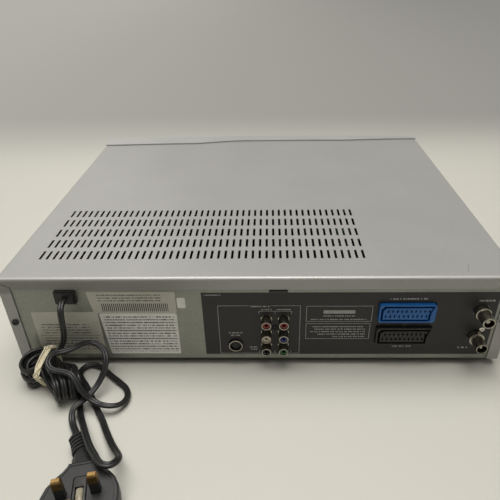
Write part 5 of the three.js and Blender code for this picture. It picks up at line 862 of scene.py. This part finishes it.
class PLAYER_OT_band(bpy.types.Operator):
    """Rubber band, doubled and twisted round the waist of the hank."""

    bl_idname = "player.band"
    bl_label = "Rubber Band"

    def execute(self, context):
        sizes = context.scene.player_lead
        strand = sizes.strand / MM
        _, rings = lead_rings(sizes)
        # The band lies round the drop's end and the hank; the loose turns come after it.
        bound = len(rings) - len(curved([*map(row, TAIL)], sizes.step / MM)) - 4
        wraps, forward = band_path(np.concatenate(rings[:bound]), strand)
        parts = []
        for wrap, (line, outwards) in enumerate(wraps):
            for half in (0, 1):
                made = []
                for k, (point, out) in enumerate(zip(line, outwards)):
                    roll = 2 * math.pi * BAND["twists"] * k / BAND["steps"] + math.pi * half + wrap
                    centre = point + (forward * math.cos(roll) + out * math.sin(roll)) * strand
                    centre[2] = max(centre[2], strand + BAND["off_floor"])
                    made.append([
                        (centre + (forward * math.cos(a) + out * math.sin(a)) * strand) * MM
                        for a in np.linspace(0, 2 * math.pi, BAND["sides"], endpoint=False)
                    ])
                parts.append(tube("band", made, loop=True))
        alone(*parts)
        bpy.ops.object.join()
        band = kept(context.object, "rubber_band", finish("rubber_band"))
        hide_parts("lead_band")
        return {"FINISHED"}


# The fuse carrier in millimetres: its breadth and length; its window's breadth and length, its middle on
# the plug, the floor left under it and how deep its cutter reaches up from there; and the fuse's radius,
# its length and how far its middle lies above that floor.
CARRIER = (8.6, 24.4)
WINDOW, WINDOW_AT, WINDOW_FLOOR, WINDOW_DEEP = (5.8, 13.6), (0, 2.1, 0), 0.6, 6
FUSE_RADIUS, FUSE_LENGTH, FUSE_UP = 2.4, 12.6, 1.3
# The fuse is pressed flat to this share of its thickness, so that it stays under the window's rim.
FUSE_FLAT = 0.5


class PLAYER_OT_fuse(bpy.types.Operator):
    """Fuse carrier in the plug's face, with the fuse that shows in its window."""

    bl_idname = "player.fuse"
    bl_label = "Fuse"

    def execute(self, context):
        low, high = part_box("fuse_cover")
        yaw = math.radians(PLUG["yaw"])
        x, y, _ = plug_point(WINDOW_AT) * MM
        floor = low.z + WINDOW_FLOOR * MM
        carrier = block((*CARRIER, (high.z - low.z) / MM), (low + high) / 2, (0, 0, yaw))
        bpy.ops.object.mode_set(mode="EDIT")
        soft_edges(carrier, 0.4)
        carved(carrier, block((*WINDOW, WINDOW_DEEP), (x, y, floor + WINDOW_DEEP / 2 * MM), (0, 0, yaw)))
        kept(carrier, "fuse_carrier", dusty_fuse_cover())
        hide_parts("fuse_cover")
        alone()
        bpy.ops.mesh.primitive_cylinder_add(
            vertices=32, radius=FUSE_RADIUS * MM, depth=FUSE_LENGTH * MM,
            location=(x, y, floor + FUSE_UP * MM), rotation=(math.pi / 2, 0, yaw))
        fuse = context.object
        fuse.scale = (1, FUSE_FLAT, 1)
        bpy.ops.object.transform_apply(location=True, rotation=True, scale=True)
        bpy.ops.object.mode_set(mode="EDIT")
        soft_edges(fuse, 0.5, 3)
        kept(fuse, "fuse", finish("ceramic"))
        return {"FINISHED"}


class PLAYER_OT_lead(bpy.types.Operator):
    """Flat mains lead: its drop from the case, its hank and its loose turns to the plug."""

    bl_idname = "player.lead"
    bl_label = "Mains Lead"

    def execute(self, context):
        points, rings = lead_rings(context.scene.player_lead)
        skin = tube("mains_lead", [[point * MM for point in ring] for ring in rings])
        lead = kept(skin, "mains_lead", finish("cord_sheath"))
        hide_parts("mains_lead_drop", "mains_lead_hank", "mains_lead_tail")
        return {"FINISHED"}


# From one stripe of a label to the next in millimetres, drawn as coarse as it needs to show.
STRIPE = 1.7


def print_rows(tree, shader, place, low, high, pitch, height, ink="#5A5955", word=2.2):
    """Rows of unreadable print inside a rectangle of the rear panel, given in millimetres.

    pitch and height are the rows' own, and a greater word makes longer words.
    """
    split = add(tree, "ShaderNodeSeparateXYZ", {0: place})
    rise = add(tree, "ShaderNodeMath", {0: split.outputs[2], 1: pitch * MM}, operation="DIVIDE")
    part = add(tree, "ShaderNodeMath", {0: rise.outputs[0]}, operation="FRACT")
    line = add(tree, "ShaderNodeMath", {0: part.outputs[0], 1: height / pitch}, operation="LESS_THAN")
    number = add(tree, "ShaderNodeMath", {0: rise.outputs[0]}, operation="FLOOR")
    across = add(tree, "ShaderNodeMath", {0: split.outputs[0], 1: word * MM}, operation="DIVIDE")
    where = add(tree, "ShaderNodeCombineXYZ", {0: across.outputs[0], 1: number.outputs[0]})
    strokes = add(tree, "ShaderNodeTexNoise", {"Vector": where.outputs[0], "Scale": 2.3, "Detail": 2.0})
    words = add(tree, "ShaderNodeMath", {0: strokes.outputs[0], 1: 0.47}, operation="GREATER_THAN")
    field = within(tree, place, (low[0], None, low[1]), (high[0], None, high[1]))
    over(tree, shader.inputs["Base Color"], (line.outputs[0], words.outputs[0], field), ink)


def ruled(tree, shader, place, x0, x1, z0, z1):
    """A thin ruled line across a label, between corners in millimetres."""
    line = within(tree, place, (x0, None, z0), (x1, None, z1), 0.05)
    over(tree, shader.inputs["Base Color"], [line], "#55544F")


def plain_label():
    """Bare paper with grey patches of dirt."""
    material, tree, shader, place = fresh("paper_label_plain", "label_paper")
    over(tree, shader.inputs["Base Color"], (patchy(tree, place, 14, 0.5, 0.78), 0.3), "#A7A59D")
    return material


def wide_label():
    """Grubby paper in the greyer laminate, whose darker colour is painted shade from the lead over it, with
    a bare head, rows of small print that can't be read and a line between them.
    """
    # The laminate's greyer colour darkens this label as painted shade from the lead that lies over it.
    material, tree, shader, place = fresh("paper_label_wide", "laminate")
    over(tree, shader.inputs["Base Color"], (patchy(tree, place, 14, 0.5, 0.78), 0.4), "#9A988F")
    print_rows(tree, shader, place, (146, 37), (189, 49.5), 3.1, 1.2)
    print_rows(tree, shader, place, (141, 17), (189, 33.5), 3.1, 1.3, word=1.6)
    ruled(tree, shader, place, 139, 192, 34.6, 35.1)
    return material


def printed_label():
    """Paper with rows of small print that can't be read, and three ruled lines."""
    material, tree, shader, place = fresh("paper_label_printed", "label_paper")
    print_rows(tree, shader, place, (71, 16), (132, 56.5), 3.05, 1.25, ink="#3E3D39", word=1.5)
    for z in (49.3, 40.2, 31):
        ruled(tree, shader, place, 69.5, 134, z, z + 0.4)
    return material


def striped_label():
    """Laminated paper with a band of plain upright stripes and two rows of small print."""
    material, tree, shader, place = fresh("laminated_label", "laminate")
    split = add(tree, "ShaderNodeSeparateXYZ", {0: place})
    across = add(tree, "ShaderNodeMath", {0: split.outputs[0], 1: STRIPE * MM}, operation="DIVIDE")
    part = add(tree, "ShaderNodeMath", {0: across.outputs[0]}, operation="FRACT")
    bar = add(tree, "ShaderNodeMath", {0: part.outputs[0], 1: 0.5}, operation="LESS_THAN")
    band = within(tree, place, (75, None, 61.6), (132, None, 70.2))
    over(tree, shader.inputs["Base Color"], (bar.outputs[0], band), "#35332F")
    print_rows(tree, shader, place, (80, 72), (134, 80.5), 2.9, 1.1, ink="#4C4B46", word=1.6)
    return material


# Labels on the rear panel: what is on them, the layer that they are stuck in, and their corners in
# millimetres, across and up, in the order that a plane has them.
LABELS = {
    "label_wide": (wide_label, 0, ((194.6, 13), (136.6, 13), (194.6, 61), (136.6, 61))),
    "label_lower": (printed_label, 1, ((131.9, 13.3), (69, 13.3), (135.6, 59.5), (68.4, 59.5))),
    "label_upper": (striped_label, 1, ((139.5, 59.7), (68.2, 59.7), (143, 82.5), (68, 82.5))),
    "label_small": (plain_label, 0, ((67, 65), (60, 65), (67, 76), (60, 76))),
}
LABEL_ROUND = 1.4 * MM
# How far labels and ink start outside the panel's face, and from one layer of labels to the next.
CLEAR, LAYER = 0.02 * MM, 0.05 * MM


class PLAYER_OT_labels(bpy.types.Operator):
    """Paper labels stuck on the rear panel, bare but for rows of unreadable print."""

    bl_idname = "player.labels"
    bl_label = "Labels"

    def execute(self, context):
        thick = context.scene.player_labels.thick
        for name, (dressed, layer, corners) in LABELS.items():
            alone()
            bpy.ops.mesh.primitive_plane_add(size=1)
            piece = context.object
            for vertex, (x, z) in zip(piece.data.vertices, corners):
                vertex.co = (x * MM, PANEL_Y + CLEAR + layer * LAYER, z * MM)
            bpy.ops.object.mode_set(mode="EDIT")
            bpy.ops.mesh.select_all(action="SELECT")
            bpy.ops.mesh.bevel(offset=LABEL_ROUND, segments=4, affect="VERTICES")
            bpy.ops.mesh.extrude_region_move(TRANSFORM_OT_translate={"value": (0, thick, 0)})
            outward()
            kept(piece, name, dressed())
        return {"FINISHED"}


# White frames round the sockets, in millimetres: low and high across, low and high up, and where the top
# line stops for a row of print and goes on.
FRAMES = (
    (-37.3, 33, 13.6, 67.3, (-12, 6)),
    (-98.3, -42.6, 50.2, 66.7, None),
    (-97.8, -42.7, 30.8, 47.8, None),
)
# Short upright lines under and over the jacks: their places across, and the two sets' ends.
TICKS, TICK_LOW, TICK_HIGH = (-2, -15.8, -29.9), (13.6, 16.8), (58.4, 61.5)
# A block of white in the second frame: low and high across, low and high up.
WHITE_BLOCK = (-84, -57, 58.7, 62.3)
# Rows of unreadable print: low and high across, the middle up, and the row's height.
ROWS = (
    (-11, 5, 66.6, 1.5), (30, 44, 78.6, 1.2), (13, 25, 37.6, 1.3), (15, 23, 34.8, 1.3),
    (-13, -4, 63.3, 1.3), (-29, -17, 63.3, 1.3), (0, 7, 21, 1.3), (0, 6, 18.4, 1.3),
    (-143, -112, 74.2, 1.7), (-136, -119, 22, 1.7), (-199, -186, 72.2, 1.8), (-186, -176, 20.5, 1.8),
    (-94, -46, 52.4, 1.2), (-84, -57, 56.2, 1.2), (-92, -48, 44.4, 1.2), (-94, -50, 41.6, 1.2),
    (-94, -46, 38.8, 1.2), (-94, -52, 36, 1.2), (-94, -66, 33.2, 1.2),
)


def strip(x0, x1, z0, z1, low, thick):
    """The points and faces of a flat printed strip on the rear panel."""
    corners = ((x0, z0), (x1, z0), (x1, z1), (x0, z1))
    points = [(x * MM, y, z * MM) for y in (low, low + thick) for x, z in corners]
    faces = [(0, 1, 2, 3), (7, 6, 5, 4), (0, 4, 5, 1), (1, 5, 6, 2), (2, 6, 7, 3), (3, 7, 4, 0)]
    return points, faces


def frame_lines(half):
    """The strips of the frames, the short lines and the white block; half is half a line's width."""
    lines = []
    for x0, x1, z0, z1, gap in FRAMES:
        lines += [(x0 - half, x0 + half, z0, z1), (x1 - half, x1 + half, z0, z1)]
        lines.append((x0, x1, z0 - half, z0 + half))
        tops = ((x0, gap[0]), (gap[1], x1)) if gap else ((x0, x1),)
        lines += [(start, end, z1 - half, z1 + half) for start, end in tops]
    lines += [(x - half, x + half, *ends) for x in TICKS for ends in (TICK_LOW, TICK_HIGH)]
    lines.append((TICKS[-1], TICKS[0], TICK_HIGH[1] - half, TICK_HIGH[1] + half))
    return [*lines, WHITE_BLOCK]


class PLAYER_OT_print(bpy.types.Operator):
    """White frames and small marks printed round the sockets."""

    bl_idname = "player.print"
    bl_label = "Panel Print"

    def execute(self, context):
        sizes = context.scene.player_labels
        lines = frame_lines(sizes.line / MM / 2)
        draw = random.Random(7)
        for x, end, z, high in ROWS:
            while x < end:
                long = draw.uniform(0.5, 1.6) * high
                lines.append((x, min(x + long, end), z - high / 2, z + high / 2 * draw.uniform(0.7, 1)))
                x += long + draw.choice((0.3, 0.35, 0.9)) * high
        points, faces = [], []
        for line in lines:
            made, around = strip(*line, PANEL_Y + CLEAR, sizes.ink)
            faces += [tuple(i + len(points) for i in face) for face in around]
            points += made
        kept(meshed("panel_print", points, faces), "panel_print", finish("white_ink"))
        return {"FINISHED"}


# Plain symbols by the front's buttons, as outlines in millimetres seen from the front.
TRIANGLE_UP = ((-2.1, -0.3), (2.1, -0.3), (0, 2.2))
BAR = ((-2.1, -1.9), (2.1, -1.9), (2.1, -1.1), (-2.1, -1.1))
POWER_ARC = tuple(
    (r * math.sin(a), r * math.cos(a))
    for r, angles in ((2.3, np.linspace(0.7, 5.58, 19)), (1.8, np.linspace(5.58, 0.7, 19))) for a in angles)
SYMBOLS = {
    "power_button": (POWER_ARC, ((-0.25, 0.2), (0.25, 0.2), (0.25, 2.7), (-0.25, 2.7))),
    "eject_button": (TRIANGLE_UP, BAR),
    "play_button": (((-1.6, -1.9), (1.9, 0), (-1.6, 1.9)),),
    "stop_button": (((-1.6, -1.6), (1.6, -1.6), (1.6, 1.6), (-1.6, 1.6)),),
    "open_close_button": (TRIANGLE_UP, BAR),
}
# How far a symbol's middle stands over its button, and how far its ink is sunk into the front.
OVER_BUTTON, SUNK = 4 * MM, 0.01 * MM
# Where the rays that find the front's face start, before the player.
BEFORE_FRONT = -0.3


class PLAYER_OT_symbols(bpy.types.Operator):
    """Plain symbols printed over the buttons of the front, following its bow."""

    bl_idname = "player.symbols"
    bl_label = "Button Symbols"

    def execute(self, context):
        ink = context.scene.player_labels.ink
        front = frame["nodes"]["front_panel"]
        points, faces = [], []
        for button, outlines in SYMBOLS.items():
            low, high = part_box(button)
            x0, z0 = (low.x + high.x) / 2, high.z + OVER_BUTTON
            for outline in outlines:
                first, count = len(points), len(outline)
                for lift in (ink, -SUNK):
                    for x, z in outline:
                        start = Vector((x0 + x * MM, BEFORE_FRONT, z0 + z * MM))
                        hit, place, _, _ = front.ray_cast(start, Vector((0, 1, 0)))
                        if not hit:
                            raise RuntimeError(f"no front over {button}")
                        points.append((place.x, place.y - lift, place.z))
                ahead = list(range(first, first + count))
                behind = list(range(first + count, first + 2 * count))
                faces += [ahead, behind[::-1]]
                for k in range(count):
                    after = (k + 1) % count
                    faces.append((behind[k], behind[after], ahead[after], ahead[k]))
        kept(meshed("button_symbols", points, faces), "button_symbols", finish("grey_ink"))
        return {"FINISHED"}


# Screws on the rear panel: their places in millimetres, across and up, and their slot.
SCREWS = ((-126.6, 47.4, "dark_screw"), (-15.8, 43.2, "dark_screw"), (-193.9, 41.6, "bright_nickel"))
# A screw's head, in millimetres: its radius, height and rounding, and how far its middle stands out.
HEAD_RADIUS, HEAD_HIGH, HEAD_ROUND, HEAD_OUT = 2.5, 1.3, 0.5, 0.67
# The cross in it: the size of its two blades, how far their middle stands out, and their turn.
BLADE, BLADE_OUT, BLADE_TURN = (2.9, 1.2, 0.62), 1.2, 0.3


class PLAYER_OT_screws(bpy.types.Operator):
    """Cross-head screws that hold the sockets to the rear panel."""

    bl_idname = "player.screws"
    bl_label = "Panel Screws"

    def execute(self, context):
        for number, (x, z, slot) in enumerate(SCREWS, 1):
            alone()
            bpy.ops.mesh.primitive_cylinder_add(
                vertices=24, radius=HEAD_RADIUS * MM, depth=HEAD_HIGH * MM,
                location=(x * MM, PANEL_Y + HEAD_OUT * MM, z * MM), rotation=(-math.pi / 2, 0, 0))
            piece = context.object
            bpy.ops.object.transform_apply(location=False, rotation=True, scale=True)
            bpy.ops.object.mode_set(mode="EDIT")
            bpy.ops.mesh.select_all(action="DESELECT")
            bpy.ops.object.mode_set(mode="OBJECT")
            # Only the rim of the outer face is rounded.
            for face in piece.data.polygons:
                face.select = face.normal.y > 0.9
            bpy.ops.object.mode_set(mode="EDIT")
            bpy.ops.mesh.bevel(offset=HEAD_ROUND * MM, segments=3, affect="EDGES")
            bpy.ops.object.mode_set(mode="OBJECT")
            centre = (x * MM, PANEL_Y + BLADE_OUT * MM, z * MM)
            cross, blade = (
                block(BLADE, centre, (0, BLADE_TURN + turn, 0)) for turn in (0, math.pi / 2))
            carved(cross, blade, "UNION")
            carved(piece, cross)
            bpy.ops.object.shade_smooth_by_angle(angle=math.radians(35))
            kept(piece, f"panel_screw_{number}", finish(slot))
        return {"FINISHED"}


# The S-video socket's ring, in millimetres: its radius, its breadth and depth, and how far it stands out.
RING_RADIUS, RING_SECTION, RING_OUT = 5.7, (1.0, 1.7), 0.2
# The block of painted shade in the slot where the cover's tab enters, in millimetres: its size, and its
# middle across and up.
SHADE_SLOT, SHADE_SLOT_ACROSS, SHADE_SLOT_UP = (15.7, 1.6, 1.5), -18.6, 83


class PLAYER_OT_fittings(bpy.types.Operator):
    """Bright ring round the S-video socket, and a black block that stands for the shade in the slot under
    the cover's rear edge.
    """

    bl_idname = "player.fittings"
    bl_label = "Small Fittings"

    def execute(self, context):
        low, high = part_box("s_video_socket")
        middle = (low + high) / 2
        alone()
        bpy.ops.mesh.primitive_plane_add(
            size=1, location=(middle.x + RING_RADIUS * MM, high.y + RING_OUT * MM, middle.z))
        ring = context.object
        ring.scale = (*(edge * MM for edge in RING_SECTION), 1)
        bpy.ops.object.transform_apply(location=True, rotation=True, scale=True)
        bpy.ops.object.mode_set(mode="EDIT")
        bpy.ops.mesh.select_all(action="SELECT")
        bpy.ops.mesh.delete(type="ONLY_FACE")
        bpy.ops.mesh.select_all(action="SELECT")
        bpy.ops.mesh.spin(steps=40, angle=2 * math.pi, center=tuple(middle), axis=(0, 1, 0))
        bpy.ops.mesh.select_all(action="SELECT")
        bpy.ops.mesh.remove_doubles(threshold=0.01 * MM)
        soft_edges(ring, 0.25)
        kept(ring, "s_video_ring", finish("nickel"))
        # A black block, as painted shade in the opening where the cover's hook tab enters.
        shade_block = block(SHADE_SLOT, (SHADE_SLOT_ACROSS * MM, PANEL_Y + SHADE_SLOT[1] / 2 * MM, SHADE_SLOT_UP * MM))
        bpy.ops.object.mode_set(mode="EDIT")
        soft_edges(shade_block, 0.3)
        kept(shade_block, "cover_tab", finish("black_plastic"))
        return {"FINISHED"}


class PLAYER_OT_finishes(bpy.types.Operator):
    """Procedural finishes for every CAD node that shows."""

    bl_idname = "player.finishes"
    bl_label = "Finishes"

    def execute(self, context):
        marked = {node: dressed() for node, dressed in MARKED.items()}
        marked["neutral_pin"] = marked["line_pin"]
        for part in frame["record"]["subparts"]:
            node, slot = part["node"], part["material_slot"]
            material = marked.get(node) or finish("button_paint" if node.endswith("_button") else slot)
            shown = frame["nodes"][node]
            shown.data.materials.clear()
            shown.data.materials.append(material)
        return {"FINISHED"}


# The floor's breadth in metres, and how far it lies under the player's feet.
FLOOR_WIDE, FLOOR_UNDER = 14, 0.02 * MM
# Where the floor fades to the backdrop, in metres: from and to along Y before the player's front, and
# outwards on every other side; then where the backdrop's painted shade fades across, from the photograph's
# right.
FADE_FRONT, FADE_AROUND, FADE_SHADE = (-0.66, -0.26), (0.9, 1.6), (-1.6, 1.6)
# Lamps: the property with their power, their place and their size in metres. They all face the player.
LAMPS = {
    "key_lamp": ("key", (0.1, -0.05, 1.75), 1.4),
    "fill_lamp": ("fill", (-0.2, 1.15, 1.9), 0.7),
    "front_lamp": ("front", (1.1, -1.7, 1.4), 1.2),
}
LAMP_COLOUR, SKY_COLOUR = (1.0, 0.985, 0.955), (1.0, 0.995, 0.975, 1)


def seen(tree):
    """1 for the rays of the camera, metal and glass, and 0 for the light that falls on the player."""
    rays = add(tree, "ShaderNodeLightPath").outputs
    share = add(tree, "ShaderNodeMath", {0: rays["Is Camera Ray"], 1: rays["Is Glossy Ray"]})
    return add(tree, "ShaderNodeMath", {
        0: share.outputs[0], 1: rays["Is Transmission Ray"]}, use_clamp=True).outputs[0]


def table_top(sizes):
    """Pale painted table, which the camera, metal and glass see fade into a plain backdrop."""
    material, tree, shader, place = blank("painted_table")
    shader.inputs["Base Color"].default_value = (*sizes.floor, 1)
    grain = add(tree, "ShaderNodeTexNoise", {"Vector": place, "Scale": 60.0, "Detail": 5.0})
    gloss = add(tree, "ShaderNodeMapRange", {"Value": grain.outputs[0], "To Min": 0.5, "To Max": 0.62})
    tree.links.new(gloss.outputs[0], shader.inputs["Roughness"])
    split = add(tree, "ShaderNodeSeparateXYZ", {0: place})
    behind = add(tree, "ShaderNodeMapRange", {
        "Value": split.outputs[1], "From Min": FADE_FRONT[0], "From Max": FADE_FRONT[1],
        "To Min": 1.0, "To Max": 0.0}, interpolation_type="SMOOTHSTEP").outputs[0]
    away = add(tree, "ShaderNodeVectorMath", {0: place}, operation="LENGTH")
    around = add(tree, "ShaderNodeMapRange", {
        "Value": away.outputs["Value"], "From Min": FADE_AROUND[0], "From Max": FADE_AROUND[1]},
        interpolation_type="SMOOTHSTEP")
    far = add(tree, "ShaderNodeMath", {0: behind, 1: around.outputs[0]}, operation="MAXIMUM")
    # Painted shade: the backdrop is darker towards the photograph's right, and only before the player's
    # front.
    across = add(tree, "ShaderNodeMapRange", {
        "Value": split.outputs[0], "From Min": FADE_SHADE[0], "From Max": FADE_SHADE[1]},
        interpolation_type="SMOOTHSTEP")
    near = add(tree, "ShaderNodeMath", {0: 1.0, 1: behind}, operation="SUBTRACT")
    light = add(tree, "ShaderNodeMath", {0: across.outputs[0], 1: near.outputs[0]}, operation="MAXIMUM")
    wall = add(tree, "ShaderNodeMix", {
        0: light.outputs[0], 6: (*sizes.shade, 1), 7: (*sizes.far, 1)}, data_type="RGBA")
    backdrop = add(tree, "ShaderNodeEmission", {"Color": wall.outputs[2], "Strength": 1.0})
    share = add(tree, "ShaderNodeMath", {0: seen(tree), 1: far.outputs[0]}, operation="MULTIPLY")
    faded = add(tree, "ShaderNodeMixShader", {
        0: share.outputs[0], 1: shader.outputs[0], 2: backdrop.outputs[0]})
    tree.links.new(faded.outputs[0], tree.nodes["Material Output"].inputs["Surface"])
    return material


def room_light(sizes):
    """A weak even light from all round, which the camera, metal and glass see as the backdrop."""
    world = bpy.data.worlds.new("sky")
    world.use_nodes = True
    tree = world.node_tree
    sky = tree.nodes["Background"]
    sky.inputs["Color"].default_value = SKY_COLOUR
    sky.inputs["Strength"].default_value = sizes.sky
    wall = add(tree, "ShaderNodeBackground", {"Color": (*sizes.far, 1), "Strength": 1.0})
    both = add(tree, "ShaderNodeMixShader", {0: seen(tree), 1: sky.outputs[0], 2: wall.outputs[0]})
    tree.links.new(both.outputs[0], tree.nodes["World Output"].inputs["Surface"])
    return world


class PLAYER_OT_stage(bpy.types.Operator):
    """Pale floor, soft lamps and the light from all round."""

    bl_idname = "player.stage"
    bl_label = "Stage"

    def execute(self, context):
        sizes = context.scene.player_stage
        alone()
        bpy.ops.mesh.primitive_plane_add(size=FLOOR_WIDE, location=(0, 0, -FLOOR_UNDER))
        floor = context.object
        floor.name = "floor"
        floor.data.materials.append(table_top(sizes))
        context.scene.world = room_light(sizes)
        for name, (power, place, size) in LAMPS.items():
            lamp = bpy.data.lights.new(name, "AREA")
            lamp.energy, lamp.size = getattr(sizes, power), size
            lamp.color = LAMP_COLOUR
            hung = bpy.data.objects.new(name, lamp)
            hung.location = place
            hung.rotation_euler = (-Vector(place)).to_track_quat("-Z", "Y").to_euler()
            context.collection.objects.link(hung)
        context.scene.view_settings.view_transform = "Standard"
        return {"FINISHED"}


class PLAYER_PT_panel(bpy.types.Panel):
    """Lists the player's operators."""

    bl_label = "Player"
    bl_idname = "PLAYER_PT_panel"
    bl_space_type = "VIEW_3D"
    bl_region_type = "UI"
    bl_category = "Player"

    def draw(self, context):
        for operator in OPERATORS:
            self.layout.operator(operator.bl_idname)
        for group in GROUPS:
            held = getattr(context.scene, group)
            for name in held.__annotations__:
                self.layout.prop(held, name)


OPERATORS = (
    PLAYER_OT_camera, PLAYER_OT_band, PLAYER_OT_fuse, PLAYER_OT_lead, PLAYER_OT_labels, PLAYER_OT_print,
    PLAYER_OT_symbols, PLAYER_OT_screws, PLAYER_OT_fittings, PLAYER_OT_finishes, PLAYER_OT_stage,
)
CLASSES = (LeadSizes, LabelSizes, StageSizes, *OPERATORS, PLAYER_PT_panel)
GROUPS = {"player_lead": LeadSizes, "player_labels": LabelSizes, "player_stage": StageSizes}


def register():
    """Makes the operators, the panel and the scene's sizes known."""
    for cls in CLASSES:
        bpy.utils.register_class(cls)
    for name, group in GROUPS.items():
        setattr(bpy.types.Scene, name, bpy.props.PointerProperty(type=group))


def unregister():
    """Takes away what register made known."""
    for name in GROUPS:
        delattr(bpy.types.Scene, name)
    for cls in reversed(CLASSES):
        bpy.utils.unregister_class(cls)


def main():
    """Dresses the player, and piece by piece."""
    register()
    bpy.ops.player.camera()
    bpy.ops.player.band()
    bpy.ops.player.fuse()
    bpy.ops.player.lead()
    bpy.ops.player.labels()
    bpy.ops.player.print()
    bpy.ops.player.symbols()
    bpy.ops.player.screws()
    bpy.ops.player.fittings()
    bpy.ops.player.finishes()
    bpy.ops.player.stage()


if __name__ == "__main__":
    main()
